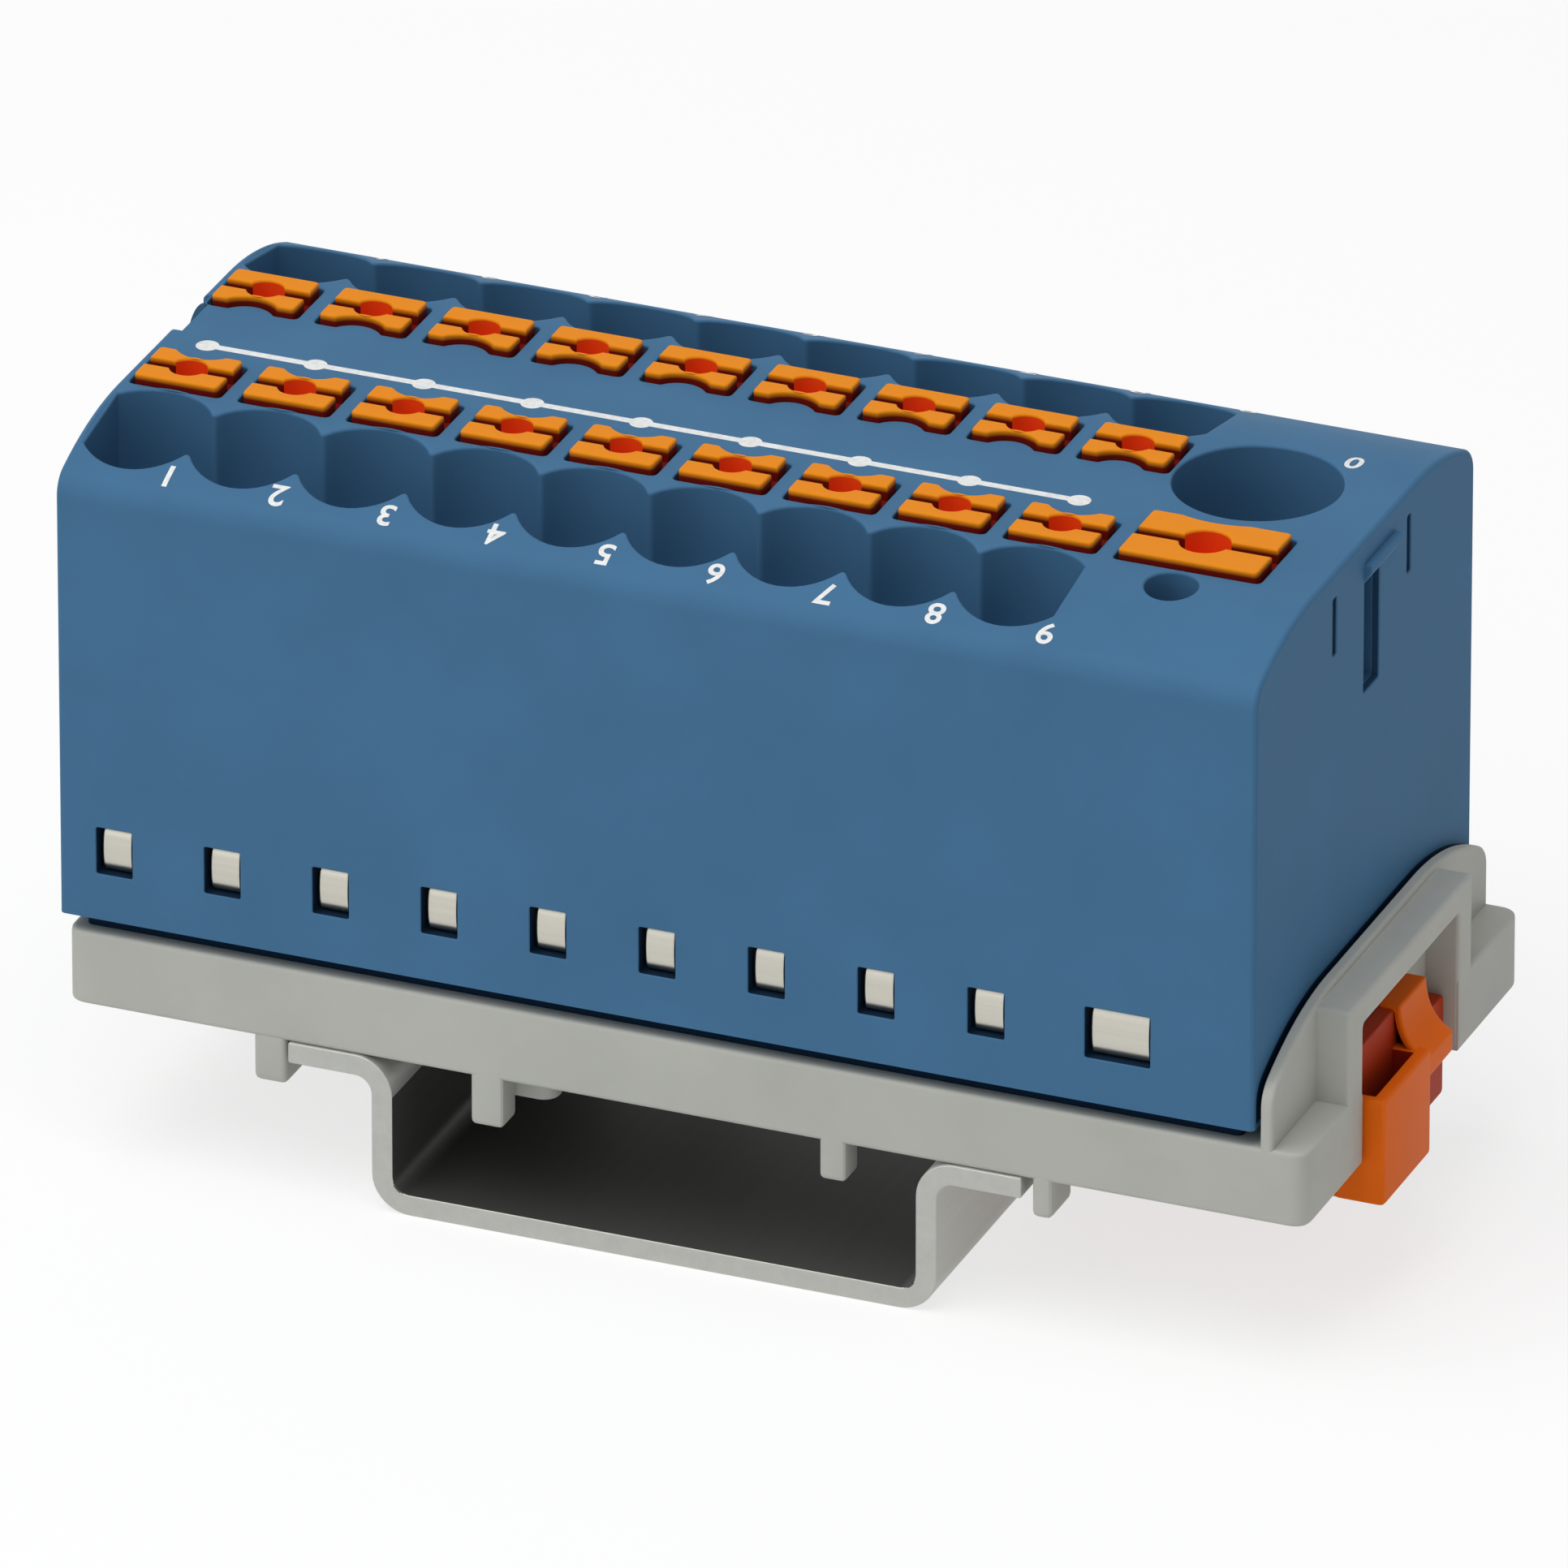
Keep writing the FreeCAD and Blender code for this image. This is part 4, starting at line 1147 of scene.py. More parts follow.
def build_button(outline, x, y, width, recess, low_z, lip, stem, settings):
    """Head with its groove and recess, and the lip and stem below it, both given as rectangles."""
    skin = Skin()
    head_top = button_high.z
    half_groove = mm(settings.groove_width) / 2
    groove_z = head_top - mm(settings.groove_depth)
    recess_z = head_top - mm(settings.recess_depth)
    edge = mm(settings.edge_radius)
    angle = math.degrees(math.asin(half_groove / recess))
    top = upright(head_top)
    floor = upright(groove_z)
    body = []
    for side, turn in ((-1, 0), (1, 180)):
        start_x, end_x = x + side * width / 2, x - side * width / 2
        edge_y = y + side * half_groove
        part = [point for point in outline if side * (point[1] - y) > half_groove]
        part = rotated(part, lambda point: (point[0] - start_x) ** 2 + (edge_y - point[1]) ** 2)
        half = [(start_x, edge_y)] + part + [(end_x, edge_y)]
        body += half
        bowl = arc(x, y, recess, turn - angle, turn - 180 + angle, 16)
        cap(skin, top, half + bowl, edge, level_floor(groove_z))
    # Groove floor on both sides of the recess, then the recess itself
    bowl = []
    for side, turn in ((1, 0), (-1, 180)):
        outer = x + side * width / 2
        bend = arc(x, y, recess, turn - angle, turn + angle, 4)
        corners = [(outer, y - side * half_groove), (outer, y + side * half_groove)]
        plate(skin, floor, corners + bend[::-1])
        bowl += bend[:-1] + arc(x, y, recess, turn + angle, turn + 180 - angle, 16)[:-1]
    walls(skin, floor, bowl, 0, level_floor(recess_z), hole=True)
    plate(skin, upright(recess_z), bowl)
    # Sides of the head, then lip and stem
    lip_depth, slope = 1.2, 0.9
    lip_top = CAVITY_ROOF - 0.05
    lip_low = lip_top - lip_depth
    walls(skin, floor, body, 0, level_floor(lip_low), hole=False)
    plate(skin, downward(lip_low), from_behind(body))
    prism(skin, upright(lip_top), softened(rectangle(*lip), 0.2), lip_depth, 0.08)
    left, front, right, rear = stem
    root_z = lip_low + 0.1
    nose = [(front, root_z), (front, low_z + slope), (front + slope, low_z), (rear - slope, low_z),
            (rear, low_z + slope), (rear, root_z)]
    prism(skin, end_on(right), softened(nose, 0.25), right - left, 0.12)
    # Painted light and shade: faces of the screwdriver recess take the recess colour
    middle = Vector((x, y))
    skin.hollows = [
        float(all((skin.points[index].xy - middle).length < recess + 0.01 for index in face)
              and skin.points[face[0]].z > recess_z - 0.01)
        for face in skin.faces
    ]
    return skin


def rotated(points, measure):
    """Closed run of points started at the one that the measure finds least."""
    start = min(range(len(points)), key=lambda index: measure(points[index]))
    return points[start:] + points[:start]


class BLOCK_OT_buttons(bpy.types.Operator):
    """Make the release buttons of the two rows and of the feed port"""

    bl_idname = "block.buttons"
    bl_label = "Release Buttons"

    def execute(self, context):
        settings = context.scene.block_buttons
        width, depth = mm(settings.width), mm(settings.depth)
        top, hollow = tuple(settings.plastic), tuple(settings.hollow)
        # Painted shade: from 0.12 mm below the top the colour falls to the hollow colour, fully from 0.3 mm
        # down
        depth_shades = [(0.0, top), (0.12, top), (0.3, hollow), (1.5, hollow)]
        material = moulded_polyamide(
            "moulded_polyamide_orange", top, tuple(settings.recess), depth_shades=depth_shades, top_z=button_high.z
        )
        corner, stem_half, feed_stem_half = 0.22, 1.5, 2.7
        for name, side in PORTS:
            low, high = node_box("release_button_" + name)
            x, y = (low.x + high.x) / 2, (low.y + high.y) / 2
            outline = small_outline(x, side, 0.0, corner, settings)
            lip = (x - width / 2, low.y, x + width / 2, high.y)
            stem = (x - stem_half, y - depth / 2, x + stem_half, y + depth / 2)
            skin = build_button(outline, x, y, width, mm(settings.recess_radius), low.z, lip, stem, settings)
            piece, body, replaced = "release_button_cap_" + name, "button_" + name, "release_button_" + name
            finished(piece, skin, body, [replaced], material)
        low, high = feed_button_low, feed_button_high
        x, y = FEED_BUTTON_X, (low.y + high.y) / 2
        width, depth = mm(settings.feed_width), mm(settings.feed_depth)
        outline = feed_outline(0.0, corner, settings)
        lip = (low.x, low.y, high.x, high.y)
        stem = (x - feed_stem_half, y - depth / 2, x + feed_stem_half, y + depth / 2)
        skin = build_button(outline, x, y, width, mm(settings.feed_recess_radius), low.z, lip, stem, settings)
        piece, body, replaced = "feed_release_button_cap", "button_feed", "feed_release_button"
        finished(piece, skin, body, [replaced], material)
        return {"FINISHED"}


# Current bar

def rounded_block(skin, low, high, edge):
    """Block between two corners, drawn from above, with rounded rims and corners."""
    low, high = Vector(low), Vector(high)
    outline = softened(rectangle(low.x, low.y, high.x, high.y), edge)
    prism(skin, upright(high.z), outline, high.z - low.z, edge)


def crowned_tab(skin, x, side, width, tall):
    """Tab in a window: its face is pressed to a low crown and its edges are rounded."""
    half_tall = tall / 2
    face_y, edge_y, base_y = HALF_DEPTH - 0.25, HALF_DEPTH - 0.5, CAVITY_OUTER - 0.6
    steps = 10
    profile = [(base_y, -half_tall)]
    for step in range(steps + 1):
        share = step / steps * 2 - 1
        bulge = math.sqrt(1 - share * share)
        profile.append((edge_y + (face_y - edge_y) * bulge, share * half_tall))
    profile.append((base_y, half_tall))
    to_middle = 0.05
    place = Flat((x - side * to_middle + width / 2, 0, WINDOW_Z), (0, 1, 0), (0, 0, 1))
    prism(skin, place, [(side * y, z) for y, z in profile][::side], width, 0.1)


class BLOCK_OT_current_bar(bpy.types.Operator):
    """Make the folded current bar with its fingers and tabs"""

    bl_idname = "block.current_bar"
    bl_label = "Current Bar"

    def execute(self, context):
        settings = context.scene.block_metal
        thickness = mm(settings.bar_thickness)
        outer = CAVITY_OUTER - 0.2
        skin = Skin()
        floor_top = bar_low.z + thickness
        rounded_block(skin, (bar_low.x, -outer, bar_low.z), (bar_high.x, outer, floor_top), 0.15)
        half = mm(settings.finger_width) / 2
        root_z = bar_low.z + 0.1
        for x in COLUMN_XS:
            for side in (-1, 1):
                low_y, high_y = sorted((side * (outer - thickness), side * outer))
                rounded_block(skin, (x - half, low_y, root_z), (x + half, high_y, bar_high.z), 0.12)
                crowned_tab(skin, x, side, mm(settings.tab_width), 2.08)
        # Feed port: contact finger behind its entry, and the upright strip that carries the wide tab
        left, right = FEED_X - 2.5, FEED_X + 2.5
        rounded_block(skin, (left, 6.3, root_z), (right, 7.3, bar_high.z), 0.15)
        rounded_block(skin, (left, -outer, root_z), (right, thickness - outer, bar_low.z + 5.0), 0.12)
        crowned_tab(skin, FEED_X, -1, mm(settings.feed_tab_width), 2.28)
        material = plated_metal("tin_plated_copper", tuple(settings.tin), 0.34, 0.25, 0)
        finished("current_bar_strip", skin, "block", ["current_bar"], material)
        return {"FINISHED"}


# Base adapter

def wall_outline(half, top, bottom):
    """Outline of the adapter's end wall, which repeats the crown of the housing."""
    form = Shoulders(half, 5.2, 15.5, 1.33, top, bottom)
    ends = [form.section(girth)[0] for girth in form.stations(12)]
    return [(point.y, point.z) for point in ends][::-1]


def build_adapter(settings):
    """Deck, end wall, latch frame and rail grips of the moulded foot."""
    skin = Skin()
    edge = mm(settings.edge_radius)
    corner = mm(settings.corner_radius)
    half = adapter_high.y
    left = adapter_low.x
    right = adapter_high.x
    frame_low, frame_high = FRAME_Y - FRAME_HALF, FRAME_Y + FRAME_HALF
    # Deck with the notch that the latch slides in
    apart = 0.02
    deck_right = right - apart
    notch_low, notch_high = frame_low - apart, frame_high + apart
    outline = [(left, -half), (deck_right, -half), (deck_right, notch_low), (WALL_OUTER, notch_low),
               (WALL_OUTER, notch_high), (deck_right, notch_high), (deck_right, half), (left, half)]
    outline = softened(outline, corner, 6, lambda point: abs(point[1]) > half - 1e-6)
    # Hollow below the deck's left end, which leaves a wall round it
    core_wall, core_right = 1.2, -20.4
    core = rectangle(left + core_wall, core_wall - half, core_right, half - core_wall)
    core = softened(core, 0.4)
    place = upright(DECK_TOP)
    back = place.sunk(DECK_TOP - DECK_BOTTOM, flipped=True)
    middle_z = DECK_BOTTOM + 1.5
    cap(skin, place, outline, edge, level_floor(middle_z))
    under = walls(skin, back, from_behind(outline), edge, level_floor(middle_z, -1), hole=False)
    core_z = DECK_BOTTOM + 2.0
    core_rim = walls(skin, back, from_behind(core), 0.1, level_floor(core_z, -1), hole=True)
    plate(skin, back, under, [core_rim])
    plate(skin, downward(core_z), from_behind(core))
    # End wall with the housing's own crown
    wall = wall_outline(half - 0.01, adapter_high.z - 0.12, DECK_TOP - 0.18)
    prism(skin, end_on(WALL_OUTER), wall, WALL_OUTER - WALL_INNER - WALL_GAP, 0.22, 0.08)
    # Frame round the latch, carried down over the deck's end
    bar, top_bar, tall = 1.6, 1.3, 3.3
    mouth_top = DECK_TOP + tall
    frame_top = mouth_top + top_bar
    arch = [(frame_low - bar, RIB_ROOT_Z), (frame_low, RIB_ROOT_Z), (frame_low, mouth_top),
            (frame_high, mouth_top), (frame_high, RIB_ROOT_Z), (frame_high + bar, RIB_ROOT_Z),
            (frame_high + bar, frame_top), (frame_low - bar, frame_top)]
    arch = softened(arch, 0.25, 4, lambda point: point[1] > DECK_TOP)
    prism(skin, end_on(right), arch, right - WALL_INNER - WALL_GAP - 0.2, edge)
    for side in (-1, 1):
        build_grips(skin, side, half)
        build_guide(skin, side)
    return skin


def hanging(skin, low_x, high_x, low_y, high_y, drop, edge):
    """Rib below the deck with rounded lower edges."""
    low_z = DECK_BOTTOM - drop
    outline = softened(rectangle(-high_x, low_y, -low_x, high_y), edge)
    prism(skin, downward(low_z), outline, drop + 0.4, edge)


def build_grips(skin, side, half):
    """Claws, posts, pegs and nibs under one long edge of the deck."""
    rail_half = rail_high.x
    gap = 0.15

    def span(depth, start=0.0):
        return sorted((side * (half - start - depth), side * (half - start)))

    claw_right, claw_drop = -rail_half - gap, 2.25
    low_y, high_y = span(7.6)
    low_z = DECK_BOTTOM - claw_drop
    claw = [(low_y, RIB_ROOT_Z), (low_y, low_z), (high_y, low_z), (high_y, RIB_ROOT_Z)]
    prism(skin, end_on(claw_right), softened(claw, 0.45, 4), 1.55, 0.3)
    low_y, high_y = span(4.95, 2.6)
    hanging(skin, claw_right - 0.8, claw_right + gap + 0.7, low_y, high_y, claw_drop, 0.15)
    # Posts that hang into the rail's channel
    low_y, high_y = span(1.6)
    for middle, width, drop in ((-8.0, 1.55, 2.4), (8.5, 1.25, 1.9)):
        hanging(skin, middle - width / 2, middle + width / 2, low_y, high_y, drop, 0.25)
    # Peg with a round end, further in
    peg_low, peg_high = span(1.6, 1.6)
    middle_y = (peg_low + peg_high) / 2
    peg_left, peg_centre, peg_radius = -8.775, -6.225, 0.8
    peg = [(a, b + middle_y) for a, b in arc(peg_centre, 0, peg_radius, -90, 90, 12)]
    peg = [(peg_left, middle_y - peg_radius), *peg, (peg_left, middle_y + peg_radius)]
    prism(skin, downward(DECK_BOTTOM - 1.5), from_behind(peg), 1.9, 0.18)
    low_y, high_y = span(2.5)
    hanging(skin, rail_half + 0.45, rail_half + 1.4, low_y, high_y, 1.85, 0.3)


def build_guide(skin, side):
    """Rib beside the latch's tongue, with the lip that carries it."""
    rib_width, lip_reach, lip_root, lip_height = 1.4, 0.8, 0.3, 0.6
    left, right = rail_high.x + 2.15, WALL_OUTER - 1.6
    low_z = DECK_BOTTOM - 2.75
    edge_y = FRAME_Y + side * FRAME_HALF
    near, far = sorted((edge_y, edge_y + side * rib_width))
    lip_near, lip_far = sorted((edge_y - side * lip_reach, edge_y + side * lip_root))
    rounded_block(skin, (left, near, low_z), (right, far, RIB_ROOT_Z), 0.15)
    lip_low, lip_high = (left + 0.05, lip_near, low_z + 0.03), (right - 0.05, lip_far, low_z + lip_height)
    rounded_block(skin, lip_low, lip_high, 0.12)


class BLOCK_OT_adapter(bpy.types.Operator):
    """Make the base adapter"""

    bl_idname = "block.adapter"
    bl_label = "Base Adapter"

    def execute(self, context):
        settings = context.scene.block_adapter
        material = moulded_polyamide("moulded_polyamide_grey", tuple(settings.plastic))
        skin = build_adapter(settings)
        finished("base_adapter_foot", skin, "block", ["base_adapter"], material)
        return {"FINISHED"}


# Foot latch

def build_latch(settings):
    """Tongue with its rail lip, back plate, lower block and knob of the sliding latch."""
    skin = Skin()
    edge = mm(settings.latch_edge_radius)
    low_y, high_y = latch_low.y, latch_high.y
    inner = WALL_OUTER + 0.15
    outer = latch_high.x
    low_z = latch_low.z
    block_y = low_y + 5.8
    # Tongue, narrower where it passes the lower block, and the lip at its end that hooks the rail
    apart, narrow_y, wide_x, tongue_depth = 0.04, block_y - 0.3, inner - 1.4, 1.82
    left, right = rail_high.x + 0.15, outer - 1.2
    tongue = [(left, low_y + apart), (right, low_y + apart), (right, narrow_y), (wide_x, narrow_y),
              (wide_x, high_y - apart), (left, high_y - apart)]
    prism(skin, upright(DECK_BOTTOM - 0.15), softened(tongue, 0.2), tongue_depth, 0.12)
    rounded_block(skin, (latch_low.x, low_y, low_z), (rail_high.x + 0.6, high_y, DECK_BOTTOM - 1.1), 0.1)
    # Plate behind the block and the knob, higher beside the knob, painted mostly in the latch's hollow colour
    # as shade
    knob_y = block_y - 0.6
    step_y, step_z, top_z, apart = knob_y + 0.5, low_z + 4.9, low_z + 7.0, 0.02
    plate_front, plate_depth = inner + 0.8, 0.79
    back = [(low_y + apart, low_z + apart), (high_y, low_z + apart), (high_y, step_z), (step_y, step_z),
            (step_y, top_z), (low_y + apart, top_z)]
    with skin.lying(0.85):
        prism(skin, end_on(plate_front), softened(back, 0.25), plate_depth, 0.12)
    # Lower block, hollowed from above, its pocket painted in the latch's hollow colour as shade
    block = softened(rectangle(inner, low_y, outer, block_y), 0.28)
    block_top = upright(low_z + 5.15)
    middle_z = low_z + 2.5
    pocket_z = low_z + 1.4
    pocket = softened(rectangle(inner + 0.3, low_y + 0.45, outer - 0.6, knob_y - 0.08), 0.05)
    rim = walls(skin, block_top, block, edge, level_floor(middle_z), hole=False)
    mouth = walls(skin, block_top, pocket, 0.06, level_floor(pocket_z), hole=True, hollow=1.0)
    with skin.lying(1.0):
        plate(skin, upright(pocket_z), pocket)
    plate(skin, block_top, rim, [mouth])
    cap(skin, downward(low_z), from_behind(block), edge, level_floor(middle_z, -1))
    build_knob(skin, inner, outer, knob_y, edge)
    return skin


def build_knob(skin, inner, outer, knob_y, edge):
    """Knob of the latch, with a narrow shelf, a hollowed ramp and a hollow in its side, painted in the
    latch's hollow colour as shade.
    """
    knob_run, knob_hollow, wall, steps = 3.3, 2.2, 0.3, 10
    root_x = inner + 0.02
    foot_z, nose_z, shelf_z = latch_low.z + 3.7, latch_low.z + 4.8, latch_low.z + 7.2
    shelf = Vector((inner + 1.1, shelf_z))
    nose = Vector((outer - 0.03, nose_z))
    sag = (shelf + nose) / 2 - Vector((0.3, 0.3))
    bow = sag * 2 - (shelf + nose) / 2
    ramp = [tuple(bowed(nose, bow, shelf, step / steps)) for step in range(steps + 1)]
    knob = softened([(root_x, foot_z), (nose.x, foot_z), *ramp, (root_x, shelf_z)], 0.22, 4)
    near = side_on(knob_y)
    far = near.sunk(knob_run, flipped=True)
    hollow = softened(grown(knob, -wall), 0.1)
    mouth = walls(skin, near, hollow, 0.05, near.floor(knob_hollow), hole=True, hollow=1.0)
    with skin.lying(1.0):
        plate(skin, near.sunk(knob_hollow), hollow)
    cap(skin, near, knob, edge, near.floor(knob_run / 2), [mouth])
    cap(skin, far, from_behind(knob), edge, far.floor(knob_run / 2))


class BLOCK_OT_latch(bpy.types.Operator):
    """Make the sliding foot latch"""

    bl_idname = "block.latch"
    bl_label = "Foot Latch"

    def execute(self, context):
        settings = context.scene.block_adapter
        material = moulded_polyamide(
            "moulded_polyamide_latch_orange", tuple(settings.latch_plastic), tuple(settings.latch_hollow)
        )
        skin = build_latch(settings)
        finished("foot_latch_slide", skin, "latch", ["foot_latch"], material)
        return {"FINISHED"}


# Rail

def rail_outline(settings):
    """Section of the top hat rail, with its bends rounded inside and outside."""
    brim = rail_high.x
    hat = RAIL_HAT
    wall = mm(settings.rail_thickness)
    height = rail_high.z
    inner = mm(settings.rail_bend)
    outer = inner + wall
    low_brim, hat_wall = height - wall, hat - wall
    corners = [
        (-brim, low_brim, 0), (-hat, low_brim, inner), (-hat, 0, outer), (hat, 0, outer),
        (hat, low_brim, inner), (brim, low_brim, 0), (brim, height, 0), (hat_wall, height, outer),
        (hat_wall, wall, inner), (-hat_wall, wall, inner), (-hat_wall, height, outer), (-brim, height, 0),
    ]
    outline = []
    count = len(corners)
    for index, (x, z, radius) in enumerate(corners):
        if not radius:
            outline.append((x, z))
            continue
        before = corners[index - 1]
        after = corners[(index + 1) % count]
        to_before = (Vector(before[:2]) - Vector((x, z))).normalized()
        to_after = (Vector(after[:2]) - Vector((x, z))).normalized()
        centre = Vector((x, z)) + (to_before + to_after) * radius
        first = Vector((x, z)) + to_before * radius - centre
        last = Vector((x, z)) + to_after * radius - centre
        steps = 9
        for step in range(steps + 1):
            angle = math.pi / 2 * step / steps
            point = centre + first * math.cos(angle) + last * math.sin(angle)
            outline.append(tuple(point))
    return outline


class BLOCK_OT_rail(bpy.types.Operator):
    """Make the rail section"""

    bl_idname = "block.rail"
    bl_label = "Rail Section"

    def execute(self, context):
        settings = context.scene.block_metal
        skin = Skin()
        outline = softened(rail_outline(settings), 0.12)
        prism(skin, side_on(rail_low.y), outline, rail_high.y - rail_low.y, 0.08)
        wall = mm(settings.rail_thickness)
        bend = mm(settings.rail_bend) + wall
        # Painted shade: faces inside the rail's channel take the channel's shade colour
        skin.hollows = [
            float(all(
                abs(skin.points[index].x) < RAIL_HAT - wall + 0.01
                and wall - 0.01 < skin.points[index].z < rail_high.z - bend + 0.01 for index in face
            ))
            for face in skin.faces
        ]
        material = plated_metal(
            "zinc_plated_steel", tuple(settings.rail_finish), 0.45, 0.5, 1, 0.4, tuple(settings.rail_hollow)
        )
        finished("rail_section_strip", skin, "block", ["din_rail_section"], material)
        return {"FINISHED"}


# White print

def print_row_tree(material):
    """Geometry Nodes tree that sets dots along a line and joins them with a bar."""
    tree = bpy.data.node_groups.new("print_row", "GeometryNodeTree")
    face = tree.interface
    face.new_socket("Geometry", in_out="OUTPUT", socket_type="NodeSocketGeometry")
    sockets = {}
    kinds = {
        "Start": "Vector", "Step": "Vector", "Count": "Int", "Dot Radius": "Float", "Dot Sides": "Int",
        "Bar Length": "Float", "Bar Width": "Float", "Bar Middle": "Vector",
    }
    for label, kind in kinds.items():
        made = face.new_socket(label, in_out="INPUT", socket_type="NodeSocket" + kind)
        sockets[label] = made.identifier
    given = node(tree, "NodeGroupInput")
    row = node(
        tree, "GeometryNodeMeshLine",
        [("Count", given.outputs["Count"]), ("Start Location", given.outputs["Start"]),
         ("Offset", given.outputs["Step"])],
    )
    dot = node(
        tree, "GeometryNodeMeshCircle",
        [("Vertices", given.outputs["Dot Sides"]), ("Radius", given.outputs["Dot Radius"])], fill_type="NGON",
    )
    dots = node(
        tree, "GeometryNodeInstanceOnPoints",
        [("Points", row.outputs["Mesh"]), ("Instance", dot.outputs["Mesh"])],
    )
    bar = node(
        tree, "GeometryNodeMeshGrid",
        [("Size X", given.outputs["Bar Length"]), ("Size Y", given.outputs["Bar Width"])],
        Vertices_X=2, Vertices_Y=2,
    )
    placed = node(
        tree, "GeometryNodeTransform",
        [("Geometry", bar.outputs["Mesh"]), ("Translation", given.outputs["Bar Middle"])],
    )
    joined = node(tree, "GeometryNodeJoinGeometry")
    tree.links.new(dots.outputs["Instances"], joined.inputs["Geometry"])
    tree.links.new(placed.outputs["Geometry"], joined.inputs["Geometry"])
    real = node(tree, "GeometryNodeRealizeInstances", [("Geometry", joined.outputs["Geometry"])])
    painted = node(
        tree, "GeometryNodeSetMaterial", [("Geometry", real.outputs["Geometry"])], Material=material
    )
    out = node(tree, "NodeGroupOutput")
    tree.links.new(painted.outputs["Geometry"], out.inputs["Geometry"])
    return tree, sockets


def grown_by_nodes(name, tree, sockets, values):
    """Plain mesh object of what a Geometry Nodes tree makes from the given inputs."""
    carrier = bpy.data.objects.new(name + "_carrier", bpy.data.meshes.new(name + "_carrier"))
    bpy.context.scene.collection.objects.link(carrier)
    modifier = carrier.modifiers.new("nodes", "NODES")
    modifier.node_group = tree
    for label, value in values.items():
        modifier[sockets[label]] = value
    bpy.context.view_layer.update()
    evaluated = carrier.evaluated_get(bpy.context.evaluated_depsgraph_get())
    data = bpy.data.meshes.new_from_object(evaluated)
    data.name = name
    carrier.modifiers.remove(modifier)
    bpy.data.objects.remove(carrier)
    piece = bpy.data.objects.new(name, data)
    bpy.context.scene.collection.objects.link(piece)
    return piece


def digit_points(text, height):
    """Flat triangles of a plain numeral, centred, turned to be read from the rear, in millimetres."""
    curve = bpy.data.curves.new("numeral", "FONT")
    curve.body = text
    curve.resolution_u = 4
    curve.offset = 0.018
    holder = bpy.data.objects.new("numeral", curve)
    bpy.context.scene.collection.objects.link(holder)
    bpy.context.view_layer.update()
    data = bpy.data.meshes.new_from_object(holder.evaluated_get(bpy.context.evaluated_depsgraph_get()))
    bpy.data.objects.remove(holder)
    bpy.data.curves.remove(curve)
    places = [vertex.co.copy() for vertex in data.vertices]
    faces = [list(face.vertices) for face in data.polygons]
    bpy.data.meshes.remove(data)
    low_x, high_x, low_y, high_y = spans([(place.x, place.y) for place in places])
    scale = height / (high_y - low_y)
    middle = Vector(((low_x + high_x) / 2, (low_y + high_y) / 2))
    flat = [((middle.x - place.x) * scale, (middle.y - place.y) * scale) for place in places]
    return [[flat[index] for index in face] for face in faces]


def build_digits(settings, form):
    """Port numbers laid on the shoulders beside their entries, and one beside the feed entry."""
    skin = Skin()
    height = mm(settings.digit_height)
    lift, strips = 0.012, 6
    beside, front_y, rear_y = 2.3, -12.0, 12.3
    marks = [(str(number), x + beside, y) for y in (front_y, rear_y) for number, x in zip(COLUMNS, COLUMN_XS)]
    feed_mark = ("0", 25.2, 6.8)
    for text, middle_x, middle_y in [*marks, feed_mark]:
        middle_girth = form.girth(middle_y)
        for face in digit_points(text, height):
            for strip in sliced(face, height / strips):
                corners = []
                for a, b in strip:
                    place, facing = form.section(middle_girth + b)
                    corners.append((Vector((middle_x + a, place.y, place.z)) + facing * lift, facing))
                skin.face(corners)
    return skin


def sliced(face, step):
    """Pieces of a flat face between level lines, so that it can follow a round surface."""
    low = min(b for _, b in face)
    high = max(b for _, b in face)
    count = max(1, math.ceil((high - low) / step))
    for index in range(count):
        bottom = low + (high - low) * index / count
        top = low + (high - low) * (index + 1) / count
        piece = clipped(clipped(face, bottom, 1), top, -1)
        if len(piece) > 2:
            yield piece


def clipped(face, level, side):
    """Part of a flat face above a level line, or below it where the side is negative."""
    result = []
    for (first_a, first_b), (second_a, second_b) in zip(face, face[1:] + face[:1]):
        first_in = side * (first_b - level) >= 0
        second_in = side * (second_b - level) >= 0
        if first_in:
            result.append((first_a, first_b))
        if first_in != second_in:
            share = (level - first_b) / (second_b - first_b)
            result.append((first_a + (second_a - first_a) * share, level))
    return result


class BLOCK_OT_print(bpy.types.Operator):
    """Make the white print: the dotted line and the port numbers"""

    bl_idname = "block.print"
    bl_label = "Print"

    def execute(self, context):
        settings = context.scene.block_print
        ink = pad_printed_ink("pad_printed_ink_white", tuple(settings.ink))
        tree, sockets = print_row_tree(ink)
        shift, line_y, lift = -0.4, -1.3, 0.008
        first_x = COLUMN_XS[0] + shift
        span = COLUMN_XS[-1] - COLUMN_XS[0]
        z = (TOP + lift) * MM
        piece = grown_by_nodes("print_line", tree, sockets, {
            "Start": (first_x * MM, line_y * MM, z),
            "Step": (PITCH * MM, 0.0, 0.0),
            "Count": len(COLUMN_XS),
            "Dot Radius": settings.dot_radius,
            "Dot Sides": settings.dot_sides,
            "Bar Length": span * MM,
            "Bar Width": settings.line_width,
            "Bar Middle": ((first_x + span / 2) * MM, line_y * MM, z - 0.003 * MM),
        })
        settled(piece, "block", [], ink)
        form = housing_form(context.scene.block_housing)
        finished("print_numbers", build_digits(settings, form), "block", [], ink)
        return {"FINISHED"}


# Clamp springs

